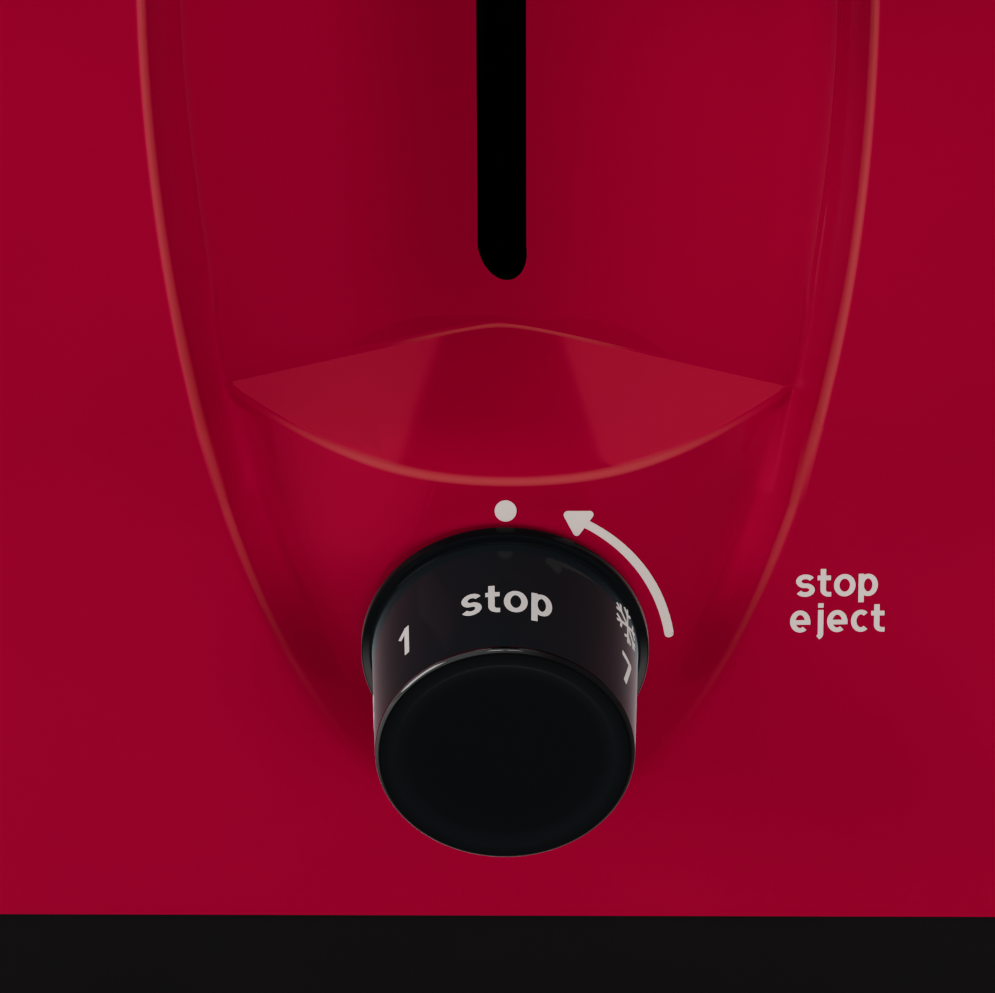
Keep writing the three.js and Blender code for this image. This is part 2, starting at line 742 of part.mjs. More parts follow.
function chassisPlate(front) {
  const outward = front ? -1 : 1;
  const inner = front ? plateFrontY : plateRearY;
  const outer = inner + outward * plateSheet;
  const span = (a, b) => [Math.min(a, b), Math.max(a, b)];
  const sheet = prismY(
    polygon([
      [-plateHalfWidth, baseTop],
      [plateHalfWidth, baseTop],
      [plateHalfWidth, plateTop - plateCorner],
      [plateHalfWidth - plateCorner, plateTop],
      [plateCorner - plateHalfWidth, plateTop],
      [-plateHalfWidth, plateTop - plateCorner],
    ]),
    ...span(inner, outer),
  );
  const feet = sides.map((side) =>
    block(
      span(side * plateFootInner, side * plateHalfWidth),
      span(inner, outer + outward * plateFootDepth),
      [baseTop, baseTop + plateSheet],
    ),
  );
  const through = span(inner - outward * overrun, outer + outward * overrun);
  const tabSlots = [
    ...[-heaterX, 0, heaterX].map((x) => [x, boardSheet / 2 + touchGap]),
    ...sides.map((side) => [side * reflectorX, reflectorSheet / 2 + touchGap]),
  ].flatMap(([x, half]) =>
    tabLevels.map((z) => block([x - half, x + half], through, [z - touchGap, z + boardTabHeight + touchGap])),
  );
  const restSlots = sides.map((side) =>
    block([side * slotX - restSlotHalf, side * slotX + restSlotHalf], through, [restSlotBottom, restSlotTop]),
  );
  const pivotHoles = sides.flatMap((side) =>
    sides.map((hand) => {
      const place = [side * slotX + hand * guardOffset, guardPivotHeight];
      return rod("y", guardWire + touchGap, through, place, 10);
    }),
  );
  const footHoles = sides.map((side) =>
    rod(
      "z",
      screwRadius + touchGap,
      [baseTop - overrun, baseTop + overrun],
      [side * plateScrewX, inner + outward * plateScrewSetback],
      10,
    ),
  );
  const windowTop = baseTop + plateSheet * 3;
  const window = block([-plateFootInner, plateFootInner], through, [baseTop - overrun, windowTop]);
  const pieces = [sheet, ...feet];
  const holes = [...tabSlots, ...restSlots, ...pivotHoles, ...footHoles, window];
  if (front) {
    pieces.push(
      block(
        [-anchorHalf, anchorHalf],
        span(inner, outer),
        [plateTop - plateCorner, anchorHeight + plateSheet],
      ),
      block(
        [-anchorHalf, anchorHalf],
        span(outer, rodY - anchorDepth / 2),
        [anchorHeight, anchorHeight + plateSheet],
      ),
    );
    holes.push(
      rod("z", rodRadius + touchGap, [anchorHeight - overrun, anchorHeight + overrun], [0, rodY], 16),
      rod("z", springWire * 2, [anchorHeight - overrun, anchorHeight + overrun], [springX, rodY], 8),
    );
  }
  return cut(join(pieces), holes);
}

// Lift spring between the carriage's tab and the anchor
const springX = 17;
const springWire = 0.5;
const springRadius = 4;
const springCurls = 15;
const springTail = 4;

add("front_plate", chassisPlate(true), zincSteel);
add("rear_plate", chassisPlate(false), zincSteel);

sides.forEach((side, i) =>
  [plateFrontY - plateScrewSetback, plateRearY + plateScrewSetback].forEach((y, j) => {
    const screw = add("chassis_screw_" + (2 * i + j + 1), panScrew(plateSheet + screwHeadSink), zincSteel);
    screw.position.set(side * plateScrewX, y, baseTop + plateSheet + touchGap);
    screw.rotation.x = Math.PI;
  }),
);

// Heater boards: mica with a tab at each corner, and a notch in its ends for each turn of the ribbon
const ribbonWidth = 1.6;
const ribbonThickness = 0.6;
const ribbonTurns = 10;
const notchDepth = 1.5;
const boardFrontY = plateFrontY + touchGap + notchDepth;
const boardRearY = plateRearY - touchGap - notchDepth;
const ribbonBottom = boardBottom + boardTabInset + boardTabHeight;
const ribbonTop = boardTop - boardTabInset - boardTabHeight;
const ribbonPitch = (ribbonTop - ribbonBottom) / ribbonTurns;

function heaterBoard() {
  const half = boardSheet / 2;
  const sheet = block([-half, half], [boardFrontY, boardRearY], [boardBottom, boardTop]);
  const tabs = tabLevels.map((z) =>
    block(
      [-half, half],
      [plateFrontY - plateSheet - boardTabReach, plateRearY + plateSheet + boardTabReach],
      [z, z + boardTabHeight],
    ),
  );
  const notches = [];
  for (let turn = 0; turn < ribbonTurns; turn++)
    [[boardRearY, 0.5], [boardFrontY, 1]].forEach(([y, share]) => {
      const z = ribbonBottom + (turn + share) * ribbonPitch;
      notches.push(
        block(
          [-overrun, overrun],
          [y - notchDepth, y + notchDepth],
          [z - ribbonWidth, z + ribbonWidth],
        ),
      );
    });
  return cut(join(sheet, tabs), notches);
}

// Resistance ribbon: one unbroken strip, wound round the board from the bottom to the top
function ribbonPath() {
  const reach = boardSheet / 2 + touchGap + ribbonThickness / 2;
  const front = boardFrontY + notchDepth;
  const rear = boardRearY - notchDepth;
  const stations = [];
  const endSteps = 3;
  for (let turn = 0; turn < ribbonTurns; turn++) {
    const z = ribbonBottom + turn * ribbonPitch;
    for (let i = 0; i <= endSteps; i++)
      stations.push({ x: 0, y: rear, angle: (i / endSteps) * Math.PI, z: z + ribbonPitch / 2 });
    for (let i = 0; i <= endSteps; i++)
      stations.push({ x: 0, y: front, angle: Math.PI * (1 + i / endSteps), z: z + ribbonPitch });
  }
  stations.unshift({ x: 0, y: front, angle: 0, z: ribbonBottom });
  return stations.map(({ y, angle, z }) => ({
    middle: new THREE.Vector3(reach * Math.cos(angle), y + reach * Math.sin(angle), z),
    out: new THREE.Vector3(Math.cos(angle), Math.sin(angle), 0),
  }));
}

function heaterRibbon() {
  const up = new THREE.Vector3(0, 0, ribbonWidth / 2);
  const rings = ribbonPath().map(({ middle, out }) => {
    const half = out.clone().multiplyScalar(ribbonThickness / 2);
    return [
      middle.clone().add(half).add(up),
      middle.clone().sub(half).add(up),
      middle.clone().sub(half).sub(up),
      middle.clone().add(half).sub(up),
    ];
  });
  return loft(rings);
}
const ribbonGap = Math.min(ribbonPitch / 2 - ribbonWidth, boardSheet + 2 * touchGap);
console.log("least gap of the heater ribbon to itself: " + ribbonGap.toFixed(2) + " mm");

[["left", -heaterX], ["middle", 0], ["right", heaterX]].forEach(([hand, x]) => {
  add("heater_board_" + hand, heaterBoard(), mica, [x, 0, 0]);
  add("heater_winding_" + hand, heaterRibbon(), nichrome, [x, 0, 0]);
});

// Reflectors: sheet walls with their top and bottom edges turned in towards the heaters
const reflectorBottom = 24;
const reflectorLip = 3;
function reflector(side) {
  const half = reflectorSheet / 2;
  const inner = -side * reflectorLip;
  const profile = polygon([
    [side * half, reflectorBottom + reflectorLip * 2],
    [inner + side * half, reflectorBottom],
    [inner - side * half, reflectorBottom],
    [-side * half, reflectorBottom + reflectorLip * 2],
    [-side * half, boardTop - reflectorLip * 2],
    [inner - side * half, boardTop],
    [inner + side * half, boardTop],
    [side * half, boardTop - reflectorLip * 2],
  ]);
  const sheet = prismY(profile, plateFrontY + touchGap, plateRearY - touchGap);
  const tabs = tabLevels.map((z) =>
    block(
      [-half, half],
      [plateFrontY - plateSheet - boardTabReach, plateRearY + plateSheet + boardTabReach],
      [z, z + boardTabHeight],
    ),
  );
  return join(sheet, tabs);
}
add("reflector_left", reflector(-1), aluminium, [-reflectorX, 0, 0]);
add("reflector_right", reflector(1), aluminium, [reflectorX, 0, 0]);

// Bread guards: a wire frame on a pivot wire that turns in both plates
const guardWires = 8;
const guardEndInset = 5;
const guardPivotReach = 2;
const guardUprightShare = 0.9;
function guard() {
  const steps = 6;
  const height = guardTop - guardPivotHeight;
  const front = slotFrontY + guardEndInset;
  const rear = slotRearY - guardEndInset;
  const pivotEnds = [plateFrontY - plateSheet - guardPivotReach, plateRearY + plateSheet + guardPivotReach];
  const wires = [
    rod("y", guardWire, pivotEnds, [0, 0], steps),
    rod("y", guardWire, [front - guardWire, rear + guardWire], [0, height], steps),
  ];
  for (let i = 0; i < guardWires; i++) {
    const y = front + ((rear - front) * i) / (guardWires - 1);
    wires.push(rod("z", guardWire * guardUprightShare, [0, height], [0, y], steps));
  }
  return join(wires);
}
sides.forEach((side, i) =>
  sides.forEach((hand, j) => {
    const place = [side * slotX + hand * guardOffset, 0, guardPivotHeight];
    add("guard_" + (2 * i + j + 1), guard(), brightSteel, place);
  }),
);

// Guide rod, from its seat in the base to the anchor of the front plate
const rodBottom = floorTop + rodSeatFloor + touchGap;
const rodTop = anchorHeight + plateSheet + rodRadius;
function guideRod() {
  const chamfer = rodRadius / 4;
  return turned([
    [0, rodBottom],
    [rodRadius - chamfer, rodBottom],
    [rodRadius, rodBottom + chamfer],
    [rodRadius, rodTop - chamfer],
    [rodRadius - chamfer, rodTop],
    [0, rodTop],
  ], 16);
}
add("guide_rod", guideRod(), brightSteel, [0, rodY, 0]);

// Carriage: a cross bar behind a bush on the rod, with wings, their folded tabs and the lever's arm
const armReachShare = 0.4;
const armFrontY = frontY - leverOverhang * armReachShare;
function makeCarriage() {
  const ys = [carriageFrontY, carriageRearY];
  const bar = prismY(
    roundRectangle(
      [-carriageBarHalf, carriageBarHalf],
      [restBottom - carriageBarMargin, restBottom + restHeight + carriageBarMargin],
      carriageBarMargin * 2,
    ),
    ...ys,
    3,
  );
  const tower = block([-towerHalf, towerHalf], ys, [restBottom, carriageTop]);
  const wing = block([-wingHalf, wingHalf], ys, [wingTop - wingHeight, wingTop]);
  const tabs = sides.map((side) =>
    block(
      [side * tabInner, side * wingHalf].sort((a, b) => a - b),
      [magnetFrontY - armatureInset, carriageRearY],
      [tabBottom, wingTop],
    ),
  );
  const bushBottom = carriageTop - bushLength;
  const bush = rod("z", bushRadius, [bushBottom, carriageTop], [0, rodY], 20);
  const web = block([-armThickness, armThickness], [rodY, carriageRearY], [bushBottom, carriageTop]);
  const rootFrontY = rodY - bushRadius + touchGap;
  const armBottom = armTop - armHeight;
  const armRootDrop = armHeight * 2;
  const armRootRun = armHeight * 3;
  const arm = prismX(
    polygon([
      [rootFrontY, armTop],
      [armFrontY, armTop],
      [armFrontY, armBottom],
      [rootFrontY - armRootRun, armBottom],
      [rootFrontY, armBottom - armRootDrop],
    ]),
    -armThickness / 2,
    armThickness / 2,
  );
  const bore = rod("z", rodRadius + looseGap, [bushBottom - overrun, carriageTop + overrun], [0, rodY], 16);
  const springHole = rod("z", springWire * 2, [tabBottom - overrun, wingTop + overrun], [springX, rodY], 8);
  return cut(join(bar, tower, wing, tabs, bush, web, arm), bore, springHole);
}
add("carriage", makeCarriage(), zincSteel);

// Bread rests: upright strips with cross tabs along the top, carried by the carriage's bar
function breadRest() {
  const half = restSheet / 2;
  const strip = prismX(
    polygon([
      [carriageRearY, 0],
      [plateRearY + plateSheet + restReach, 0],
      [plateRearY + plateSheet + restReach, restHeight / 2],
      [slotRearY, restHeight],
      [carriageRearY, restHeight],
    ]),
    -half,
    half,
  );
  const tabs = [];
  for (let i = 0; i < restTabs; i++) {
    const y = slotFrontY + (slotLength * (i + 1)) / (restTabs + 1);
    tabs.push(
      prismY(
        polygon([
          [-restTabHalf, restHeight + restSheet],
          [-restTabHalf, restHeight],
          [-half, restHeight - restSheet],
          [half, restHeight - restSheet],
          [restTabHalf, restHeight],
          [restTabHalf, restHeight + restSheet],
          [0, restHeight + restSheet / 2],
        ]),
        y - restTabWidth / 2,
        y + restTabWidth / 2,
      ),
    );
  }
  return join(strip, tabs);
}
add("bread_rest_left", breadRest(), brightSteel, [-slotX, 0, restBottom]);
add("bread_rest_right", breadRest(), brightSteel, [slotX, 0, restBottom]);

// Lever handle: a paddle on the arm's end, thinner towards its tip
const handleHalf = 17;
const handleInnerY = frontY + 4;
const handleTipY = frontY - leverOverhang;
const handleHalfHeight = 4.75;
const handleRound = 6;
const handleTipWidthShare = 0.82;
const handleBellyShare = 0.9;
const handleTipHeightShare = 0.45;
const handleBulgeShares = { tip: 1 / 8, side: 1 / 6 };
function leverHandle() {
  const tipHalf = handleHalf * handleTipWidthShare;
  const innerRound = handleRound / 2;
  const tipBulge = handleRound * handleBulgeShares.tip;
  const sideBulge = handleRound * handleBulgeShares.side;
  const plan = new THREE.Shape();
  plan.moveTo(-tipHalf + handleRound, handleTipY);
  plan.quadraticCurveTo(0, handleTipY - tipBulge, tipHalf - handleRound, handleTipY);
  plan.quadraticCurveTo(tipHalf, handleTipY, tipHalf + sideBulge, handleTipY + handleRound);
  plan.lineTo(handleHalf, handleInnerY - innerRound);
  plan.quadraticCurveTo(handleHalf, handleInnerY, handleHalf - innerRound, handleInnerY);
  plan.lineTo(-handleHalf + innerRound, handleInnerY);
  plan.quadraticCurveTo(-handleHalf, handleInnerY, -handleHalf, handleInnerY - innerRound);
  plan.lineTo(-tipHalf - sideBulge, handleTipY + handleRound);
  plan.quadraticCurveTo(-tipHalf, handleTipY, -tipHalf + handleRound, handleTipY);
  const half = handleHalfHeight;
  const belly = half * handleBellyShare;
  const tipHeight = half * handleTipHeightShare;
  const middleY = frontY - leverOverhang / 2;
  const behind = handleInnerY + overrun;
  const side = new THREE.Shape();
  side.moveTo(behind, armMiddle - half);
  side.lineTo(behind, armMiddle + half);
  side.quadraticCurveTo(middleY, armMiddle + belly, handleTipY, armMiddle + tipHeight);
  side.quadraticCurveTo(handleTipY - tipHeight, armMiddle, handleTipY, armMiddle - tipHeight);
  side.quadraticCurveTo(middleY, armMiddle - belly, behind, armMiddle - half);
  const beside = handleHalf + overrun;
  const heights = [armMiddle - half - overrun, armMiddle + half + overrun];
  const body = prismZ(plan, ...heights, 6)
    .intersect(prismX(side, -beside, beside, 8))
    .intersect(block([-beside, beside], [handleTipY, handleInnerY], heights));
  const socket = block(
    [-armThickness / 2 - touchGap, armThickness / 2 + touchGap],
    [armFrontY - touchGap, behind],
    [armTop - armHeight - touchGap, armTop + touchGap],
  );
  return cut(body, socket);
}
add("lever_handle", leverHandle(), blackPlastic);

// Armature, under the carriage's left tab
add(
  "armature",
  block(
    [-magnetX - magnetHalfWidth - armatureInset, -magnetX + magnetHalfWidth + armatureInset],
    [magnetFrontY, magnetRearY],
    [armatureBottom, tabBottom],
  ),
  brightSteel,
);

// Electromagnet: a U of iron with a coil on its front leg
const coilWall = 3.5;
const coilFlange = 1.2;
const coilHeight = 22;
function magnetCore() {
  const x = [-magnetX - magnetHalfWidth, -magnetX + magnetHalfWidth];
  const yoke = block(x, [magnetFrontY, magnetRearY], [magnetBottom, magnetBottom + yokeHeight]);
  const frontLeg = block(x, [magnetFrontY, magnetFrontY + magnetLeg], [magnetBottom, magnetTop]);
  const rearLeg = block(x, [magnetRearY - magnetLeg, magnetRearY], [magnetBottom, magnetTop]);
  return join(yoke, frontLeg, rearLeg);
}
function magnetCoil() {
  const bottom = magnetBottom + yokeHeight;
  const outline = (grown) =>
    roundRectangle(
      [-magnetX - magnetHalfWidth - grown, -magnetX + magnetHalfWidth + grown],
      [magnetFrontY - grown, magnetFrontY + magnetLeg + grown],
      Math.min(grown / 2, magnetLeg / 2),
    );
  const flangeGrown = coilWall + coilFlange;
  const winding = prismZ(outline(coilWall), bottom, bottom + coilHeight, 3);
  const lower = prismZ(outline(flangeGrown), bottom, bottom + coilFlange, 3);
  const upper = prismZ(outline(flangeGrown), bottom + coilHeight - coilFlange, bottom + coilHeight, 3);
  const leg = block(
    [-magnetX - magnetHalfWidth - touchGap, -magnetX + magnetHalfWidth + touchGap],
    [magnetFrontY - touchGap, magnetFrontY + magnetLeg + touchGap],
    [bottom - overrun, bottom + coilHeight + overrun],
  );
  return cut(join(winding, lower, upper), leg);
}
add("magnet_core", magnetCore(), zincSteel);
add("magnet_coil", magnetCoil(), copper);

// Lift spring: one wire, straight at both ends and wound between them
class SpringWire extends THREE.Curve {
  getPoint(t, target = new THREE.Vector3()) {
    const bottom = wingTop + touchGap;
    const top = anchorHeight - touchGap;
    const z = bottom + (top - bottom) * t;
    const tail = springTail / (top - bottom);
    const along = THREE.MathUtils.clamp((t - tail) / (1 - 2 * tail), 0, 1);
    const edge = 1 / springCurls;
    const radius = springRadius * Math.min(1, along / edge, (1 - along) / edge);
    const angle = along * springCurls * Math.PI * 2;
    return target.set(radius * Math.cos(angle), radius * Math.sin(angle), z);
  }
}

function sweep(points, radius, count) {
  const rings = points.map((point, i) => {
    const before = points[Math.max(0, i - 1)];
    const after = points[Math.min(points.length - 1, i + 1)];
    const along = after.clone().sub(before).normalize();
    const out = new THREE.Vector3(point.x, point.y, 0);
    if (out.length() < radius) out.set(1, 0, 0);
    out.sub(along.clone().multiplyScalar(out.dot(along))).normalize();
    const side = new THREE.Vector3().crossVectors(along, out);
    return Array.from({ length: count }, (_, k) => {
      const angle = (k / count) * Math.PI * 2;
      return point
        .clone()
        .add(out.clone().multiplyScalar(radius * Math.cos(angle)))
        .add(side.clone().multiplyScalar(radius * Math.sin(angle)));
    });
  });
  return loft(rings);
}
const springPoints = new SpringWire().getPoints(springCurls * 8);
function leastGap(points, radius, apart) {
  let least = Infinity;
  for (let i = 0; i < points.length; i++)
    for (let j = i + apart; j < points.length; j++) least = Math.min(least, points[i].distanceTo(points[j]));
  return least - 2 * radius;
}
const springGap = leastGap(springPoints, springWire, 6);
console.log("least gap of the lift spring to itself: " + springGap.toFixed(2) + " mm");
add("lift_spring", sweep(springPoints, springWire, 5), brightSteel, [springX, rodY, 0]);

// Knob: built round +Z with its back at the origin, then turned to point out of the end face
const knobSkirtRadius = 16;
const knobSkirtHeight = 1.4;
const knobRadius = 15.05;
const knobFrontRadius = 14.15;
const knobLength = 21.2;
const knobRim = 0.7;
const knobDish = 0.5;
const knobChamfer = 0.3;
const knobDishShares = { radius: 0.6, depth: 0.7 };
const knobGap = 0.5;
const knobShell = 2.2;
const knobHubRadius = 5.5;
const shaftFlat = 1;
const shaftEnd = 4;

function makeKnob() {
  const faceRadius = knobFrontRadius - knobRim;
  const profile = [[0, knobGap], [knobSkirtRadius, knobGap], [knobSkirtRadius, knobSkirtHeight - knobChamfer]];
  profile.push([knobSkirtRadius - knobChamfer, knobSkirtHeight], [knobRadius, knobSkirtHeight]);
  const rimSteps = 4;
  for (let i = 0; i <= rimSteps; i++) {
    const angle = (i / rimSteps) * (Math.PI / 2);
    profile.push([faceRadius + knobRim * Math.cos(angle), knobLength - knobRim + knobRim * Math.sin(angle)]);
  }
  profile.push([faceRadius * knobDishShares.radius, knobLength - knobDish * knobDishShares.depth]);
  profile.push([0, knobLength - knobDish]);
  const hollow = turned([
    [knobHubRadius, knobGap - overrun],
    [knobRadius - knobShell, knobGap - overrun],
    [knobFrontRadius - knobShell, knobLength - knobShell * 2],
    [knobHubRadius, knobLength - knobShell * 2],
    [knobHubRadius, knobGap - overrun],
  ], 24);
  const ribs = [0, 1, 2, 3].map((i) => {
    const rib = block(
      [-knobShell / 4, knobShell / 4],
      [knobHubRadius - knobShell / 4, knobRadius - knobShell / 2],
      [knobGap + knobShell, knobLength - knobShell],
    );
    return rib.rotate([0, 0, 45 + 90 * i]);
  });
  const bore = shaftSection(touchGap / 2, knobGap - overrun, knobLength - shaftEnd + touchGap);
  return cut(join(cut(turned(profile, 40), hollow), ribs), bore);
}

// A round shaft with one flat side, from one place on +Z to another
function shaftSection(grown, from, to) {
  const radius = shaftRadius + grown;
  const flat = block(
    [shaftRadius - shaftFlat + grown, shaftRadius + overrun],
    [-radius - overrun, radius + overrun],
    [from - overrun, to + overrun],
  );
  return cut(rod("z", radius, [from, to], [0, 0], 20), flat);
}

const knobPlace = [0, frontY, knobHeight];
const knob = add("knob", makeKnob(), glossBlack, knobPlace);
const shaftInside = boardY - frontY - controlSheet;
const timerShaft = add(
  "timer_shaft",
  shaftSection(0, -shaftInside, knobLength - shaftEnd),
  aluminium,
  knobPlace,
);
for (const turning of [knob, timerShaft]) turning.rotation.x = Math.PI / 2;

// Timer: a box on the control board with a round bushing that reaches the end face
function makeTimer() {
  const back = boardY;
  const box = block(
    [-timerHalf, timerHalf],
    [back - timerDepth, back],
    [knobHeight - timerHalf, knobHeight + timerHalf],
  );
  const bushing = rod("y", bushingRadius, [frontY + touchGap, back - timerDepth / 2], [0, knobHeight], 20);
  const boreEnds = [frontY - overrun, back - controlSheet + touchGap];
  const bore = rod("y", shaftRadius + touchGap, boreEnds, [0, knobHeight], 20);
  return cut(join(box, bushing), bore);
}
add("timer", makeTimer(), blackPlastic);
add(
  "control_board",
  block([-boardX, boardX], [boardY, boardY + controlSheet], [controlBottom, controlTop]),
  boardGreen,
);

// Mains contacts: a stepped block on the base with two brass leaves
const contactFrontY = contactRearY - contactDepth;
add(
  "contact_block",
  prismX(
    polygon([
      [contactFrontY, floorTop],
      [contactRearY, floorTop],
      [contactRearY, contactStep],
      [contactFrontY + contactPostDepth, contactStep],
      [contactFrontY + contactPostDepth, contactPost],
      [contactFrontY, contactPost],
    ]),
    contactX - contactHalf,
    contactX + contactHalf,
  ),
  blackPlastic,
);
function contactLeaf(seat, startY) {
  const endY = contactRearY + leafReach;
  const dimple = rod("z", leafHalf / 2, [seat, seat + leafSheet * 2], [contactX, endY - leafHalf], 10);
  const strip = block([contactX - leafHalf, contactX + leafHalf], [startY, endY], [seat, seat + leafSheet]);
  return join(strip, dimple);
}
add("contact_leaf_lower", contactLeaf(contactStep, contactFrontY + contactPostDepth + touchGap), brass);
add("contact_leaf_upper", contactLeaf(contactPost, contactFrontY), brass);

// Terminal block beside the oven's rear end, where the mains wires end
const terminalLength = 12;
const terminalWidth = 14;
const terminalHeight = 12;
const terminalGap = 2.5;
const terminalSetback = 10;
const terminalHole = 2;
const terminalHoleShares = [0.25, 0.75];
const terminalX = plateFootInner + terminalGap;
const terminalY = plateRearY - terminalSetback - terminalLength;
function terminalBlock() {
  const body = block(
    [terminalX, terminalX + terminalWidth],
    [terminalY, terminalY + terminalLength],
    [floorTop, floorTop + terminalHeight],
  );
  const holes = terminalHoleShares.flatMap((share) => {
    const x = terminalX + terminalWidth * share;
    const y = terminalY + terminalLength / 2;
    const z = floorTop + terminalHeight / 2;
    return [
      rod("z", terminalHole, [z, z + terminalHeight], [x, y], 10),
      rod("y", terminalHole, [y - terminalLength, y + terminalLength], [x, z], 10),
    ];
  });
  return cut(body, holes);
}
add("terminal_block", terminalBlock(), ceramicWhite);

// Cord bush: a rubber ring with a flange on each side of the base's rear wall
function cordBush() {
  const innerFace = pocketRearY - touchGap;
  return turned([
    [bushBore, innerFace - bushFlangeDepth],
    [bushFlange, innerFace - bushFlangeDepth],
    [bushFlange, innerFace],
    [bushNeck, innerFace],
    [bushNeck, baseRearY],
    [bushFlange, baseRearY],
    [bushFlange, baseRearY + bushFlangeDepth],
    [bushBore, baseRearY + bushFlangeDepth],
    [bushBore, innerFace - bushFlangeDepth],
  ], 16);
}
const cordBushMesh = add("cord_bush", cordBush(), blackRubber, [cordX, 0, cordZ]);
cordBushMesh.rotation.x = -Math.PI / 2;

// Crumb tray: a shallow pan on the base's runners, with a pull that fills the opening behind it
function crumbTray() {
  const pan = block(
    [-trayHalfWidth, trayHalfWidth],
    [trayFrontY + touchGap, trayRearY],
    [trayBottom, trayBottom + trayDepth],
  );
  const hollow = block(
    [-trayHalfWidth + traySheet, trayHalfWidth - traySheet],
    [trayFrontY + touchGap + traySheet, trayRearY - traySheet],
    [trayBottom + traySheet, trayBottom + trayDepth + overrun],
  );
  return cut(pan, hollow);
}
add("crumb_tray", crumbTray(), aluminium);

function trayPull() {
  const plate = block(
    [-trayHalfWidth, trayHalfWidth],
    [trayRearY, trayRearY + pullDepth + pullLip - touchGap],
    [trayBottom - touchGap, trayBottom + pullHeight],
  );
  const scoop = rod(
    "x",
    scoopRadius,
    [-scoopHalfWidth, scoopHalfWidth],
    [trayRearY + pullDepth + pullLip, trayBottom + pullHeight],
    16,
  );
  return cut(plate, scoop);
}
add("tray_pull", trayPull(), blackPlastic);

export default toaster;
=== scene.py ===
import json
from math import atan2, cos, exp, hypot, pi, radians, sin, sqrt

import bmesh
import bpy
from mathutils import Matrix, Vector


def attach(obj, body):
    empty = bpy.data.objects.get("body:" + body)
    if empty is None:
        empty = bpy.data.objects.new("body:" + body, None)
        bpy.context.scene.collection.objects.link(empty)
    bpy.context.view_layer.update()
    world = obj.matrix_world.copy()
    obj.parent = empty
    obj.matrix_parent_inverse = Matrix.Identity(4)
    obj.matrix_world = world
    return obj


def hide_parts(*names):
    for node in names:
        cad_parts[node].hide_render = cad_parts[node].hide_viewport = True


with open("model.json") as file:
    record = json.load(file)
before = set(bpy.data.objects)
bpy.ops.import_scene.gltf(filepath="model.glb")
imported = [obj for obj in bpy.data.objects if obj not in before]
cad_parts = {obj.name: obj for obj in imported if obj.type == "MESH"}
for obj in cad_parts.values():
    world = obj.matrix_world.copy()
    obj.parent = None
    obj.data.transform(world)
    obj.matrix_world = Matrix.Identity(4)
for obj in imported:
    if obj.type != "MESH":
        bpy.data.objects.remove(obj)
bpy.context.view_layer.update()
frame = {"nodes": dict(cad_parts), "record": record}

MM = 0.001
nodes = frame["nodes"]
body_of = {node: body for body, held in frame["record"]["behaviour"]["bodies"].items() for node in held}
slot_of = {part["node"]: part["material_slot"] for part in frame["record"]["subparts"]}

# Camera: in front of the control end, above it, looking down at the knob
PHOTO_WIDTH = 995
FOCAL_PIXELS = 5920
SENSOR = 36
CAMERA_PITCH = radians(34.087)
CAMERA_ROLL = radians(0.16)
CAMERA_PLACE = Vector((-0.89, -663.48, 441.78)) * MM

camera_data = bpy.data.cameras.new("photo_camera")
camera_data.sensor_width = SENSOR
camera_data.lens = FOCAL_PIXELS / PHOTO_WIDTH * SENSOR
camera = bpy.data.objects.new("photo_camera", camera_data)
aim = Matrix.Rotation(pi / 2 - CAMERA_PITCH, 4, "X") @ Matrix.Rotation(CAMERA_ROLL, 4, "Z")
camera.matrix_world = Matrix.Translation(CAMERA_PLACE) @ aim
bpy.context.scene.collection.objects.link(camera)
bpy.context.scene.camera = camera

# Sizes of the toaster, in millimetres
FRONT = -126
REAR = 150
WIDTH = 170
CORNER = 25
TOP_EDGE = 8
SIDE_TAPER = 2.5
HOUSING_BOTTOM = 19.8
HOUSING_TOP = 178.5
WALL = 2.5
KNOB_HEIGHT = 58.4


# Materials


class Signal:
    """One socket of a material's nodes, for sums on it"""

    def __init__(self, finish, socket):
        self.finish = finish
        self.socket = socket

    def math(self, operation, *values):
        return self.finish.node("ShaderNodeMath", {"operation": operation}, dict(enumerate(values)))

    def __add__(self, other):
        return self.math("ADD", self, other)

    __radd__ = __add__

    def __rsub__(self, other):
        return self.math("SUBTRACT", other, self)

    def __mul__(self, other):
        return self.math("MULTIPLY", self, other)

    def step(self, low, high):
        """0 below low, 1 above high, and smooth between them"""
        values = {"Value": self, "From Min": low, "From Max": high}
        return self.finish.node("ShaderNodeMapRange", {"interpolation_type": "SMOOTHSTEP"}, values)


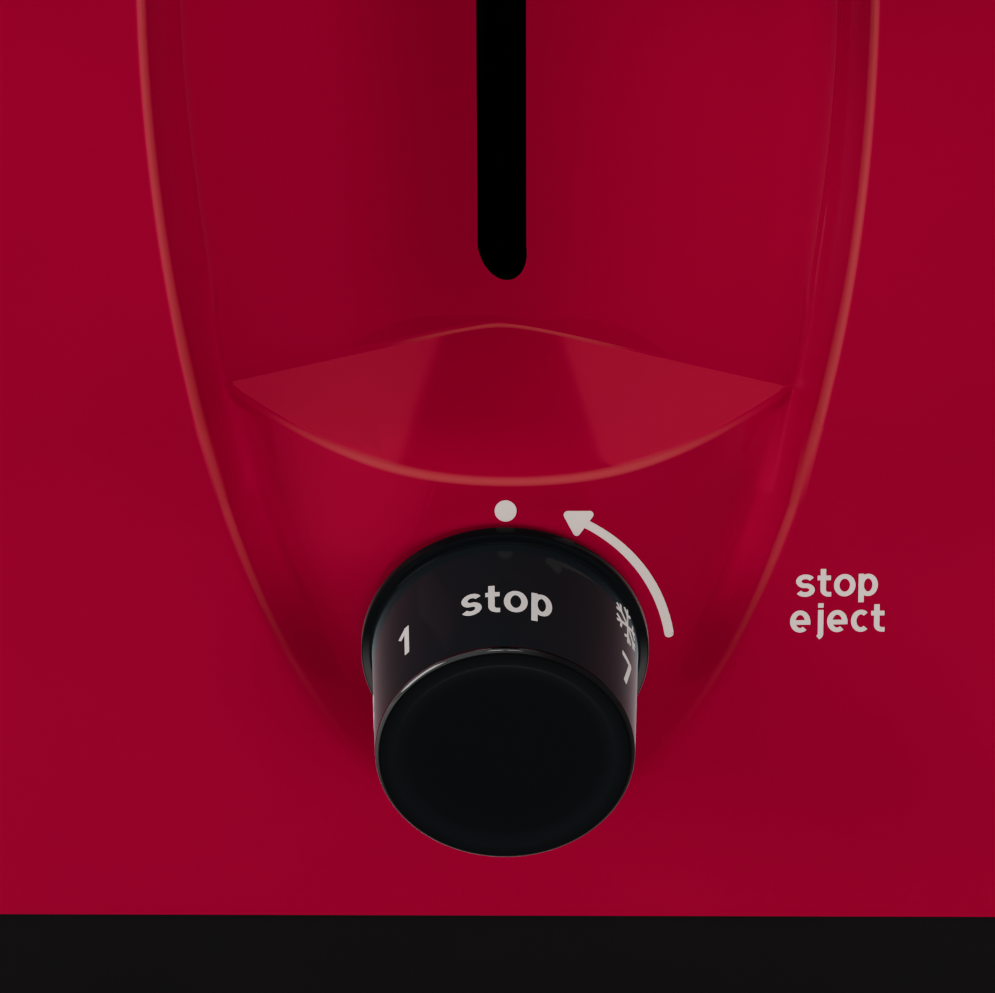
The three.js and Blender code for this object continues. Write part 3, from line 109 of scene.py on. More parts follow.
class Finish:
    """A material with one shader, and the nodes that feed it"""

    def __init__(self, name, **constants):
        self.material = bpy.data.materials.new(name)
        self.material.use_nodes = True
        self.tree = self.material.node_tree
        self.shader = self.tree.nodes["Principled BSDF"]
        for socket, value in constants.items():
            self.set(socket.replace("_", " "), value)

    def node(self, kind, settings=None, inputs=None, output=0):
        """Adds a node with its settings and inputs, and gives one of its outputs"""
        made = self.tree.nodes.new(kind)
        for key, value in (settings or {}).items():
            setattr(made, key, value)
        for key, value in (inputs or {}).items():
            self.feed(made.inputs[key], value)
        return Signal(self, made.outputs[output])

    def feed(self, socket, value):
        """Links a socket to a signal, or gives it a constant"""
        if isinstance(value, Signal):
            self.tree.links.new(value.socket, socket)
        elif socket.type == "RGBA":
            socket.default_value = (*value, 1)
        else:
            socket.default_value = value

    def set(self, name, value):
        self.feed(self.shader.inputs[name], value)

    def place(self, scale=(1, 1, 1)):
        """Object coordinates in millimetres, stretched"""
        spot = self.node("ShaderNodeTexCoord", output="Object")
        return self.node("ShaderNodeMapping", None, {"Vector": spot, "Scale": tuple(s / MM for s in scale)})

    def noise(self, size, scale=(1, 1, 1), detail=2.0, roughness=0.5):
        """Grey noise whose blots are about so many millimetres wide"""
        values = {"Vector": self.place(scale), "Scale": 1 / size, "Detail": detail, "Roughness": roughness}
        return self.node("ShaderNodeTexNoise", None, values)

    def attribute(self, name):
        return self.node("ShaderNodeAttribute", {"attribute_name": name}, output="Fac")

    def mix(self, share, first, second):
        """The first colour where the share is 0, the second where it is 1"""
        values = {0: share, 6: first, 7: second}
        return self.node("ShaderNodeMix", {"data_type": "RGBA"}, values, output=2)

    def bump(self, height, distance, strength=1.0):
        values = {"Height": height, "Distance": distance * MM, "Strength": strength}
        self.set("Normal", self.node("ShaderNodeBump", None, values))


def srgb(*levels):
    """A colour as screens give it, made linear"""
    return tuple(v / 255 / 12.92 if v <= 10 else ((v / 255 + 0.055) / 1.055) ** 2.4 for v in levels)


def red_plastic():
    """Glossy red, darker as painted shade or paler as painted light where attributes of the mesh say so, and
    greyish on its rounded edges as a painted highlight
    """
    finish = Finish("red_plastic", Specular_IOR_Level=0.25, Specular_Tint=(1, 0.08, 0.14))
    cloud = finish.noise(38, detail=3).step(0.3, 0.7)
    speck = finish.noise(0.5, detail=1)
    body = finish.mix(cloud, srgb(140, 0, 43), srgb(144, 0, 44))
    # Painted shade: a darker red about the lever's slot
    body = finish.mix(finish.attribute("flow_shade"), body, srgb(126, 0, 37))
    # Painted light: a paler red on the recess's walls, beside them and low down, also rougher there
    light = finish.attribute("wall_light")
    body = finish.mix(light, body, srgb(168, 0, 56))
    # Painted highlight: a paler, greyish red on the rounded edges, paler still where painted light lies
    edge = finish.mix(light, srgb(156, 50, 58), srgb(184, 55, 70))
    finish.set("Base Color", finish.mix(finish.attribute("painted_edge_highlight"), body, edge))
    finish.set("Roughness", 0.02 + cloud * 0.008 + speck * 0.006 + light.step(0.3, 0.5) * 0.22)
    finish.bump(finish.noise(9, detail=1), 0.006, 0.2)
    return finish.material


def grained(name, dark, pale, roughness, grain=0.5, depth=0.02, specular=0.3):
    """Moulded plastic, paint or rubber with a fine grain"""
    finish = Finish(name, Specular_IOR_Level=specular)
    fine = finish.noise(grain, detail=3, roughness=0.6)
    cloud = finish.noise(24, detail=2)
    finish.set("Base Color", finish.mix(cloud.step(0.3, 0.75) * 0.7 + fine * 0.3, dark, pale))
    finish.set("Roughness", roughness + fine * 0.12)
    finish.bump(fine, depth, 0.6)
    return finish.material


def gloss_black():
    """Black with a cool sheen, paler on the knob's side as painted light, and with a coat on its edges where
    it gives a painted highlight
    """
    finish = Finish(
        "gloss_black",
        Specular_IOR_Level=0.04,
        Sheen_Weight=0.65,
        Sheen_Roughness=0.25,
        Sheen_Tint=(0.8, 0.96, 1),
        Coat_Roughness=0.03,
        Coat_IOR=1.8,
    )
    cloud = finish.noise(16, detail=3)
    # Painted light: a paler, cooler black on the knob's wall, less on the skirt and round the dish
    side = finish.attribute("knob_painted_light") * (0.92 + cloud * 0.16)
    finish.set("Base Color", finish.mix(side, srgb(6, 6, 7), srgb(24, 30, 34)))
    finish.set("Roughness", 0.06 + cloud * 0.04)
    # Coat only where the attribute puts it: a painted highlight on the rim's left and the skirt's lower half
    finish.set("Coat Weight", finish.attribute("coat_highlight"))
    finish.bump(finish.noise(4, detail=1), 0.003, 0.3)
    return finish.material


def printed_ink(name, dark, pale):
    """Matt print, a little uneven"""
    finish = Finish(name, Specular_IOR_Level=0.2)
    fine = finish.noise(0.25, detail=2)
    finish.set("Base Color", finish.mix(fine.step(0.3, 0.7), dark, pale))
    finish.set("Roughness", 0.55 + fine * 0.15)
    return finish.material


def drawn_metal(name, dark, pale, roughness, scale, metallic=1.0, size=0.5, depth=0.01):
    """Sheet or wire with fine marks drawn along one direction"""
    finish = Finish(name)
    marks = finish.noise(size, scale, detail=3, roughness=0.65)
    stain = finish.noise(17, detail=3)
    finish.set("Metallic", metallic)
    finish.set("Base Color", finish.mix(marks * 0.5 + stain.step(0.35, 0.7) * 0.5, dark, pale))
    finish.set("Roughness", roughness + marks * 0.16 + stain * 0.06)
    finish.bump(marks, depth, 0.5)
    return finish.material


def spangled(name, dark, pale):
    """Zinc coat with its crystals"""
    finish = Finish(name, Metallic=0.95)
    values = {"Vector": finish.place(), "Scale": 0.22}
    crystal = finish.node("ShaderNodeTexVoronoi", None, values, output="Color")
    grey = finish.node("ShaderNodeRGBToBW", None, {"Color": crystal})
    fine = finish.noise(0.6, detail=3)
    finish.set("Base Color", finish.mix(grey * 0.6 + fine * 0.3, dark, pale))
    finish.set("Roughness", 0.3 + grey * 0.16 + fine * 0.1)
    finish.bump(fine, 0.006, 0.5)
    return finish.material


def mica():
    """Pale brown sheet with its flakes"""
    finish = Finish("mica")
    flake = finish.noise(5, (1, 1, 1.6), detail=4, roughness=0.6)
    fine = finish.noise(0.8, detail=2)
    finish.set("Base Color", finish.mix(flake.step(0.32, 0.68), srgb(168, 150, 118), srgb(205, 190, 160)))
    finish.set("Roughness", 0.38 + flake * 0.2)
    finish.bump(flake * 0.7 + fine * 0.3, 0.05, 0.6)
    return finish.material


def board_green():
    """Circuit board with the lines of its tracks"""
    finish = Finish("board_green", Roughness=0.35)
    values = {"Vector": finish.place(), "Scale": 0.16, "Randomness": 0.25}
    cell = finish.node("ShaderNodeTexVoronoi", {"feature": "DISTANCE_TO_EDGE"}, values)
    track = 1 - cell.step(0.1, 0.13)
    finish.set("Base Color", finish.mix(track, srgb(20, 66, 34), srgb(38, 98, 50)))
    finish.bump(track, 0.03, 0.6)
    return finish.material


def glazed_ceramic():
    """White ceramic, a little uneven"""
    finish = Finish("ceramic_white")
    cloud = finish.noise(6, detail=3)
    finish.set("Base Color", finish.mix(cloud, srgb(212, 207, 194), srgb(228, 224, 214)))
    finish.set("Roughness", 0.22 + cloud * 0.14)
    finish.bump(finish.noise(1.2), 0.02, 0.4)
    return finish.material


finishes = {
    "red_plastic": red_plastic(),
    "black_plastic": grained("black_plastic", srgb(14, 12, 13), srgb(17, 15, 16), 0.5, specular=0.1),
    "gloss_black": gloss_black(),
    "black_rubber": grained("black_rubber", srgb(16, 16, 16), srgb(30, 29, 28), 0.78, 0.8, 0.03),
    "zinc_steel": spangled("zinc_steel", srgb(158, 163, 166), srgb(196, 200, 202)),
    "bright_steel": drawn_metal("bright_steel", srgb(186, 188, 190), srgb(214, 216, 218), 0.2, (1, 0.1, 1)),
    "dark_frame": grained("dark_frame", srgb(24, 23, 24), srgb(32, 31, 33), 0.36, 0.9, 0.015, 0.45),
    "aluminium": drawn_metal("aluminium", srgb(178, 181, 184), srgb(206, 209, 211), 0.26, (1, 0.06, 1)),
    "mica": mica(),
    "nichrome": drawn_metal("nichrome", srgb(92, 82, 76), srgb(134, 124, 118), 0.42, (1, 0.2, 1), 0.85),
    "copper": drawn_metal("copper", srgb(142, 62, 28), srgb(190, 98, 52), 0.3, (0.3, 0.3, 3), 0.9),
    "brass": drawn_metal("brass", srgb(176, 136, 56), srgb(208, 170, 88), 0.26, (1, 0.2, 1)),
    "board_green": board_green(),
    "ceramic_white": glazed_ceramic(),
}
inks = {
    "body": printed_ink("printed_grey", srgb(246, 219, 209), srgb(252, 227, 217)),
    "knob": printed_ink("printed_white", srgb(248, 246, 240), srgb(253, 252, 247)),
}
for node, slot in slot_of.items():
    for material_slot in nodes[node].material_slots:
        material_slot.material = finishes[slot]


# Modelling tools


def new_object(name, data):
    made = bpy.data.objects.new(name, data)
    bpy.context.scene.collection.objects.link(made)
    return made


def mesh_of(bm):
    mesh = bpy.data.meshes.new("shape")
    bm.to_mesh(mesh)
    bm.free()
    return mesh


def settled(name, data):
    """The mesh that a curve, or an object with its modifiers, comes to"""
    maker = data if isinstance(data, bpy.types.Object) else new_object(name, data)
    mesh = bpy.data.meshes.new_from_object(maker.evaluated_get(bpy.context.evaluated_depsgraph_get()))
    bpy.data.objects.remove(maker)
    return mesh


def piece_of(mesh, name, finish, body, smooth=32):
    """A named piece with its finish, smooth but for the edges over an angle, on its body"""
    piece = new_object(name, mesh)
    mesh.name = name
    mesh.materials.clear()
    mesh.materials.append(finish)
    mesh.shade_smooth()
    mesh.set_sharp_from_angle(angle=radians(smooth))
    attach(piece, body)
    return piece


def skin(rings):
    """A closed skin through rings of as many points, each extruded from the last"""
    bm = bmesh.new()
    ring = [bm.verts.new(Vector(p) * MM) for p in rings[0]]
    edges = [bm.edges.new((ring[i - 1], ring[i])) for i in range(len(ring))]
    bmesh.ops.contextual_create(bm, geom=edges)
    for points in rings[1:]:
        made = bmesh.ops.extrude_edge_only(bm, edges=edges)["geom"]
        raised = {v for v in made if isinstance(v, bmesh.types.BMVert)}
        ring = [next(e.other_vert(v) for e in v.link_edges if e.other_vert(v) in raised) for v in ring]
        for vert, p in zip(ring, points):
            vert.co = Vector(p) * MM
        edges = [e for e in made if isinstance(e, bmesh.types.BMEdge) and set(e.verts) <= raised]
    bmesh.ops.contextual_create(bm, geom=edges)
    bmesh.ops.recalc_face_normals(bm, faces=bm.faces)
    return bm


def upright(points, low, high):
    """A straight upright prism over an outline"""
    return mesh_of(skin([[(x, y, z) for x, y in points] for z in (low, high)]))


def rounded(a0, a1, b0, b1, radius, steps=8):
    """Outline of a rectangle with round corners"""
    corners = [(a1 - radius, b1 - radius), (a0 + radius, b1 - radius)]
    corners += [(a0 + radius, b0 + radius), (a1 - radius, b0 + radius)]
    points = []
    for quarter, (a, b) in enumerate(corners):
        for i in range(steps + 1):
            angle = (quarter + i / steps) * pi / 2
            points.append((a + radius * cos(angle), b + radius * sin(angle)))
    return points


def turned(profile, steps, aim, centre):
    """A turned solid from a profile of radius and place along its axis"""
    bm = bmesh.new()
    verts = [bm.verts.new((r * MM, 0, along * MM)) for r, along in profile]
    edges = [bm.edges.new(pair) for pair in zip(verts, verts[1:])]
    spun = verts + edges
    bmesh.ops.spin(bm, geom=spun, cent=(0, 0, 0), axis=(0, 0, 1), angle=2 * pi, steps=steps, use_merge=True)
    bmesh.ops.remove_doubles(bm, verts=bm.verts, dist=1e-6)
    bmesh.ops.recalc_face_normals(bm, faces=bm.faces)
    turn = Vector((0, 0, 1)).rotation_difference(Vector(aim)).to_matrix().to_4x4()
    bmesh.ops.transform(bm, matrix=Matrix.Translation(Vector(centre) * MM) @ turn, verts=bm.verts)
    return mesh_of(bm)


def carved(base, tools, operation="DIFFERENCE"):
    """The mesh of a solid after others are cut from it or joined to it"""
    body = new_object("carving", base)
    helpers = [new_object("tool", tool) for tool in tools]
    for helper in helpers:
        change = body.modifiers.new("cut", "BOOLEAN")
        change.object = helper
        change.operation = operation
        change.solver = "MANIFOLD"
    mesh = settled("carved", body)
    for helper in helpers:
        bpy.data.objects.remove(helper)
    return mesh


def rounded_most(a, b, reach):
    """The larger value, rounded where the two are nearly the same"""
    share = max(0, 1 - abs(a - b) / reach)
    return max(a, b) + reach / 4 * share * share


def rounded_least(a, b, reach):
    return -rounded_most(-a, -b, reach)


def smooth_step(start, end, value):
    """0 before the start, 1 past the end, and smooth between them"""
    t = min(1, max(0, (value - start) / (end - start)))
    return t * t * (3 - 2 * t)


def painted(mesh, name, share):
    """Writes an attribute on a mesh's points, from a function of places with heights from the knob's axis"""
    values = mesh.attributes.new(name, "FLOAT", "POINT").data
    for vert, entry in zip(mesh.vertices, values):
        x, y, z = vert.co / MM
        entry.value = share(x, y, z - KNOB_HEIGHT)


# Housing

# Recess: RECESS_X is its middle, and the other places across count from there. Heights count from the knob's
# axis, and depths from the end face
RECESS_X = 0.35
RECESS_LEAN = 0.3
LEAN_HEIGHTS = (40, 90)
RECESS_HALF = 38.05
RECESS_WAIST = 78
RECESS_BELOW = 104
RECESS_ABOVE = 34
RECESS_DEEPEST = 16
OUTLINE_SHIFT = 0.15
OUTLINE_ROUND = 1.5
# Side wall: its slope at three heights, and how softly it meets the floor, more so above and below the ledge
WALL_SLOPES = ((-8, 0.9), (20, 1.9), (30, 4))
FOOT_ROUND = 3
FOOT_ROUND_ABOVE = 9.2
FOOT_ROUND_BELOW = 3
FOOT_HEIGHTS_ABOVE = (31, 48)
FOOT_HEIGHTS_BELOW = (29, 21)
# Floor: the trough, the platform, and the ledge that rises from the one to the other
TROUGH_DEPTH = 12.65
TROUGH_RISE = 0.165
CREASE_X = -0.9
CREASE_SOFT = 3
PLATFORM_DEPTH = 8
PLATFORM_HALF = 31.6
PLATFORM_POWER = 2.1
LEDGE = 21.25
TIP_X = 31
SMILE_ROUND = 0.5
BROW_ROUND = 0.12
# These keep distances from the outline finite at the recess's middle
LEAST_RADIUS = 0.05
LEAST_STEEP = 0.004


def recess_centre(h):
    """Middle of the recess at a height: it leans to the left towards the top"""
    return RECESS_X - RECESS_LEAN * smooth_step(*LEAN_HEIGHTS, h)


def trough(x):
    """Depth of the trough round the lever's slot, with its soft crease"""
    return TROUGH_DEPTH - TROUGH_RISE * (hypot(x - CREASE_X, CREASE_SOFT) - CREASE_SOFT)


def platform(x):
    """Depth of the platform that bulges out behind the knob"""
    return PLATFORM_DEPTH * (abs(x) / PLATFORM_HALF) ** PLATFORM_POWER


def outline_gap(x, h):
    """Distance from the recess's outline, counted inwards: an ellipse below its waist, squarer above"""
    rise = h - RECESS_WAIST
    if rise < 0:
        r = hypot(x / RECESS_HALF, rise / RECESS_BELOW)
        steep = hypot(x / RECESS_HALF**2, rise / RECESS_BELOW**2) / max(r, LEAST_RADIUS)
        return (1 - r) / max(steep, LEAST_STEEP)
    a = abs(x / RECESS_HALF)
    b = rise / RECESS_ABOVE
    r = (a**3 + b**3) ** (1 / 3)
    steep = hypot(a * a / RECESS_HALF, b * b / RECESS_ABOVE) / max(r * r, LEAST_RADIUS)
    return (1 - r) / max(steep, LEAST_STEEP)


def floor_depth(x, h, grown=0.0):
    """Depth of the trough, the ledge and the platform, before the side wall"""
    low = rounded_most(platform(x) + grown, h - LEDGE + grown * sqrt(2), SMILE_ROUND)
    return rounded_least(trough(x) + grown, low, BROW_ROUND)


def wall_slope(h):
    """Depth that the side wall gains for each millimetre inwards"""
    (foot, low), (waist, middle), (top, high) = WALL_SLOPES
    return low + (middle - low) * smooth_step(foot, waist, h) + (high - middle) * smooth_step(waist, top, h)


def recess_depth(across, h, grown=0.0):
    """Depth of the recess at a place, or of the same shape grown outwards by the wall's thickness"""
    x = across - recess_centre(h)
    side = (outline_gap(x, h) + OUTLINE_SHIFT + grown) * wall_slope(h) + grown
    above, below = smooth_step(*FOOT_HEIGHTS_ABOVE, h), smooth_step(*FOOT_HEIGHTS_BELOW, h)
    reach = FOOT_ROUND + FOOT_ROUND_ABOVE * above + FOOT_ROUND_BELOW * below
    inside = rounded_least(side, floor_depth(x, h, grown), reach)
    return max(inside, grown) if grown else rounded_most(inside, 0, OUTLINE_ROUND)


# The shell's rows open out beyond the ledge's tips, and its columns crowd in a band along the outline
ROWS_OPEN = 1.6
ROWS_OPEN_OVER = 12
ROWS_SHARE = 0.35
LEAST_HALF_BELOW = 12
LEAST_HALF_ABOVE = 30
OUTLINE_BAND = 4.5
INNER_COLUMNS = 42
COLUMNS_FROM_X = 28


def outline_half(h):
    """Half of the outline's width at a height"""
    rise = h - RECESS_WAIST
    if rise < 0:
        return RECESS_HALF * sqrt(max(0, 1 - (rise / RECESS_BELOW) ** 2))
    return RECESS_HALF * max(0, 1 - (rise / RECESS_ABOVE) ** 3) ** (1 / 3)


def spread(start, end, count):
    """Even places from the start up to, but without, the end"""
    return [start + (end - start) * i / count for i in range(count)]


def level(h):
    """A row that stays at one height"""
    return lambda x: h


def ledge_row(edge, shift):
    """A row that runs beside the lower (smile) or upper (brow) edge of the ledge, or between them"""
    def height(across):
        x = across - RECESS_X
        near = min(abs(x), TIP_X)
        away = ROWS_OPEN * smooth_step(TIP_X, TIP_X + ROWS_OPEN_OVER, abs(x))
        smile = LEDGE + platform(near) - away
        brow = LEDGE + trough(near) + away
        inwards = min(abs(shift), ROWS_SHARE * (brow - smile))
        if edge == "smile":
            return smile + inwards if shift > 0 else smile + shift
        if edge == "brow":
            return brow - inwards if shift < 0 else brow + shift
        return smile + (brow - smile) * shift

    return height


def shell_rows(fine):
    """Heights of the shell's rows, as functions of the place across, closest where the form bends most"""
    bottom = HOUSING_BOTTOM - KNOB_HEIGHT
    crown = HOUSING_TOP - TOP_EDGE - KNOB_HEIGHT
    if not fine:
        heights = [bottom, -24, -12, -4, 4, 12, 18, 22, 26, 30, 34, 40, 60, 84, 96, 104, 108, crown]
        return [level(h) for h in heights]
    rows = [level(h) for h in spread(bottom, -28, 3) + spread(-28, 16, 30) + spread(16, 19.2, 3)]
    rows += [ledge_row("smile", -d) for d in (1.6, 1.2, 0.9, 0.68, 0.56, 0.48, 0.38, 0.26, 0.13)]
    rows += [ledge_row("smile", d) for d in (0.01, 0.13, 0.26, 0.38, 0.48, 0.56, 0.7, 1, 1.6)]
    rows += [ledge_row("between", s) for s in (0.42, 0.5, 0.58)]
    rows += [ledge_row("brow", -d) for d in (3, 1.8, 1, 0.5, 0.25, 0.14, 0.1, 0.05)]
    rows += [ledge_row("brow", d) for d in (0.01, 0.05, 0.1, 0.14, 0.25, 0.5, 1, 1.8)]
    rows += [level(h) for h in spread(37.6, 85, 12) + spread(85, 107, 18) + spread(107, crown, 14)]
    return rows + [level(crown)]


def front_columns(h, edge, fine):
    """Places across the end face at a height, which follow the recess's outline"""
    half = max(outline_half(h), LEAST_HALF_BELOW if h < RECESS_WAIST else LEAST_HALF_ABOVE)
    if fine:
        right = [(half - OUTLINE_BAND) * i / INNER_COLUMNS for i in range(1, INNER_COLUMNS + 1)]
        right += [half - d for d in (4, 3.5, 3, 2.5, 2.1, 1.8, 1.5, 1.25, 1, 0.8, 0.6, 0.45, 0.3, 0.15)]
        right += [half + d for d in (0, 0.15, 0.3, 0.45, 0.6, 0.8, 1.1, 1.6, 2.4)]
        right += [right[-1] + (edge - right[-1]) * i / 5 for i in range(1, 6)]
    else:
        right = [half * i / 12 for i in range(1, 13)] + [half + (edge - half) * i / 3 for i in range(1, 4)]
    left = [-x for x in reversed(right)]
    return left[:1] + [x + recess_centre(h) for x in left[1:] + [0] + right[:-1]] + right[-1:]


def quarter_round(x, y, radius, quarter, steps, z):
    """Points of a quarter circle, the quarters counted from the right"""
    turns = [(quarter + i / steps) * pi / 2 for i in range(steps + 1)]
    return [(x + radius * cos(a), y + radius * sin(a), z) for a in turns]


def shell_rings(inset, grown, fine):
    """Rings of the body, from the bottom up, with the recess pressed into its control end"""
    corner_steps = 16 if fine else 7
    edge_steps = 12 if fine else 6
    rows = [(row, 0) for row in shell_rows(fine)]
    rows += [(rows[-1][0], i / edge_steps * pi / 2) for i in range(1, edge_steps + 1)]
    radius = TOP_EDGE - inset
    rings = []
    for row, angle in rows:
        drawn = inset + radius * (1 - cos(angle))
        lift = radius * sin(angle)

        def height(x):
            return min(row(x), HOUSING_TOP - TOP_EDGE - KNOB_HEIGHT) + KNOB_HEIGHT + lift

        z = height(WIDTH)
        half = WIDTH / 2 - SIDE_TAPER * (z - HOUSING_BOTTOM) / (HOUSING_TOP - HOUSING_BOTTOM) - drawn
        corner = CORNER - drawn
        flat = half - corner
        near, far = FRONT + drawn + corner, REAR - drawn - corner
        ring = []
        for x in front_columns(row(COLUMNS_FROM_X), flat, fine):
            depth = recess_depth(x, height(x) - KNOB_HEIGHT, grown)
            ring.append((x, FRONT + max(drawn, depth), height(x)))
        ring += quarter_round(flat, near, corner, -1, corner_steps, z)[1:]
        ring += [(half, y, z) for y in spread(near, far, 6)[1:]]
        ring += quarter_round(flat, far, corner, 0, corner_steps, z)
        ring += [(x, REAR - drawn, z) for x in spread(flat, -flat, 6)[1:]]
        ring += quarter_round(-flat, far, corner, 1, corner_steps, z)
        ring += [(-half, y, z) for y in spread(far, near, 6)[1:]]
        ring += quarter_round(-flat, near, corner, 2, corner_steps, z)[:-1]
        rings.append(ring)
    return rings


# Tones of the housing's red, which are painted highlight, painted shade and painted light: shares of a
# colour, each faded over the heights or distances given with it
TONES_END = 108


def edge_band(distance, half):
    """1 on an edge, falling to 0 at half the band's width from it"""
    return max(0, 1 - (distance / half) ** 2)


def edge_share(across, y, h):
    """Painted highlight: how far a point of the end face lies on one of the recess's rounded edges"""
    x = across - recess_centre(h)
    if y > FRONT + RECESS_DEEPEST or abs(x) > RECESS_HALF + 3:
        return 0
    fading = 0.1 + 0.9 * smooth_step(-18, 34, h)
    outline = edge_band(outline_gap(x, h) + 0.1, 0.5) * smooth_step(0.9, 4, floor_depth(x, h)) * fading
    tapering = smooth_step(0, 17, TIP_X - abs(x))
    smile = edge_band(h - LEDGE - platform(x), 0.3 + 0.3 * tapering) * tapering
    brow = edge_band(h - LEDGE - trough(x), 0.25) * smooth_step(-16, -6, -abs(x)) * 0.8
    return max(outline, smile, brow)


def flow_shade(across, y, h):
    """Painted shade: a darker red about the lever's slot, deep in the trough"""
    if h > TONES_END or not FRONT + 3 < y < FRONT + RECESS_DEEPEST:
        return 0
    x = across - recess_centre(h)
    above = 0.7 + 0.3 * smooth_step(34, 46, h)
    return above * exp(-(((x + 5) / 14) ** 2)) * smooth_step(LEDGE + 0.3, LEDGE + 1, h)


def wall_light(across, y, h):
    """Painted light: a paler red low down, and on the recess's side walls and beside them, lifting the shade
    that falls there
    """
    low = 0.2 * smooth_step(30, -10, h)
    if h > TONES_END or y > FRONT + RECESS_DEEPEST:
        return low
    x = across - recess_centre(h)
    gap = outline_gap(x, h)
    over_smile = h - LEDGE - platform(x)
    past_wall = gap - floor_depth(x, h) / wall_slope(h)

    wider = smooth_step(32, 44, h)
    wall = smooth_step(1.2 + wider, -0.4 + wider, past_wall) * smooth_step(-4, 14, h)
    wall *= 0.5 + 0.25 * smooth_step(46, 30, h) - 0.1 * smooth_step(-5, 5, x)
    left, right = 0.18 * smooth_step(8, 22, -x), 0.2 * smooth_step(26, 34, x)
    beside = (left + right) * smooth_step(26, 34, h)
    under_tips = 0.5 * smooth_step(21, 28, abs(x))
    under_tips *= smooth_step(-7, -2, over_smile) * smooth_step(0.2, -0.3, over_smile)
    # Painted light over the shade that the knob casts above it
    above_knob = 0.28 * smooth_step(19, 16.3, hypot(x, h)) * smooth_step(0, 8, h)
    left_cheek = 0.3 * smooth_step(5, 15, -x) * smooth_step(3, 12, h) * smooth_step(0.5, -0.5, over_smile)
    smile = 0.3 * smooth_step(0.7, 0.3, abs(over_smile))
    inside = max(wall, beside, under_tips, above_knob, left_cheek, smile) * smooth_step(0.2, 0.7, gap)

    strength = 0.85 if x < 0 else 0.4
    outline = strength * smooth_step(0.7, 0.3, abs(gap + 0.1)) * smooth_step(0, 20, h)
    return max(low * smooth_step(0.5, -1.5, gap), outline, inside)


# Openings of the housing, and its screw bosses: heights count from the table
OVERRUN = 5
SLOT_HALF = 2.65
SLOT_ROUND = 2.649
SLOT_TOP = 164.1
SLOT_FEET = ((-130, 112.25), (-108, 95.75))
SLOT_X = -0.45
SLOT_LEAN = 0.006
SLOT_LEAN_FROM = 97.9
SLOT_SKEW = 0.55
SLOT_SAG = 1.65
TOP_OPENING = (-46, 46, -41, 109)
TOP_OPENING_CORNER = 6
TOP_OPENING_HEIGHTS = (170, 190)
SHAFT_HOLE = 5
SHAFT_HOLE_DEPTH = 8
BOSS_X = 73.435
BOSS_ENDS = (-114.435, 138.435)
BOSS_RADIUS = 4.5
BOSS_FOOT = 24.3
BOSS_TOP = 54.3
BORE_RADIUS = 1.55
BORE_TOP = 51.8


def slot_cutter():
    """The lever's slot, leaning a little, with the skewed round end that the photo shows"""
    rings = []
    for y, foot in SLOT_FEET:
        ring = []
        for x, z in rounded(-SLOT_HALF, SLOT_HALF, foot, SLOT_TOP, SLOT_ROUND, 14):
            sag = max(0, foot + SLOT_HALF - z) / SLOT_HALF
            lean = SLOT_LEAN * (z - SLOT_LEAN_FROM)
            ring.append((x + SLOT_X - lean + SLOT_SKEW * sag, y, z - SLOT_SAG * sag))
        rings.append(ring)
    return mesh_of(skin(rings))


def hole_cutter():
    """The hole for the timer's shaft"""
    inner, outer = SHAFT_HOLE_DEPTH, -OVERRUN
    profile = [(0, outer), (SHAFT_HOLE, outer), (SHAFT_HOLE, inner), (0, inner)]
    return turned(profile, steps=48, aim=(0, 1, 0), centre=(0, FRONT, KNOB_HEIGHT))


def boss(x, y):
    """A screw boss in a corner of the housing, bored from below"""
    profile = [(0, BOSS_TOP), (BOSS_RADIUS, BOSS_TOP), (BOSS_RADIUS, BOSS_FOOT)]
    profile += [(BORE_RADIUS, BOSS_FOOT), (BORE_RADIUS, BORE_TOP), (0, BORE_TOP)]
    return turned(profile, steps=32, aim=(0, 0, 1), centre=(x, y, 0))


def housing():
    """The housing's shell, finely drawn outside and plainer inside"""
    inner = shell_rings(WALL, WALL, False)
    inner.insert(0, [(x, y, HOUSING_BOTTOM - OVERRUN) for x, y, z in inner[0]])
    top = upright(rounded(*TOP_OPENING, TOP_OPENING_CORNER), *TOP_OPENING_HEIGHTS)
    shell = mesh_of(skin(shell_rings(0, 0, True)))
    shell = carved(shell, [mesh_of(skin(inner)), slot_cutter(), top, hole_cutter()])
    shell = carved(shell, [boss(x, y) for x in (-BOSS_X, BOSS_X) for y in BOSS_ENDS], "UNION")
    painted(shell, "painted_edge_highlight", edge_share)
    painted(shell, "flow_shade", flow_shade)
    painted(shell, "wall_light", wall_light)
    piece = piece_of(shell, "housing_shell", finishes["red_plastic"], "body", 35)
    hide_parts("housing")


housing()

# Knob

# Radii, and places along the knob's axis counted from the end face
KNOB_WALL_RADIUS = 14.8
KNOB_FRONT_RADIUS = 14.15
KNOB_SKIRT_RADIUS = 16
KNOB_BACK = 0.5
KNOB_SKIRT = 2
KNOB_LENGTH = 21.2
KNOB_RIM = 0.7
KNOB_BORE = 3.2
KNOB_BORE_END = 17
KNOB_HUB = 5.5
KNOB_HOLLOW_MOUTH = 12.8
KNOB_HOLLOW_RADIUS = 11.7
KNOB_HOLLOW_END = 16.4
SKIRT_CHAMFER = (0.2, 0.15)
KNOB_WALL_ROWS = (3, 5, 9, 13, 17)
DISH_TONE_RADIUS = 13.5
# Where the coat's painted highlight lies on the skirt and the rim
HIGHLIGHT_SKIRT_FROM = 15
HIGHLIGHT_RIM_FROM = 13.75
HIGHLIGHT_RIM_WIDTH = 0.6
HIGHLIGHT_RIM_TURN = radians(48)
# The skirt's rounded front down to the wall's root: radius, and place from the skirt's face
SKIRT_FRONT = ((16, -0.25), (15.93, -0.08), (15.75, 0), (15.2, 0), (14.98, 0.04), (14.86, 0.14))
SKIRT_FRONT += ((14.78, 0.35),)
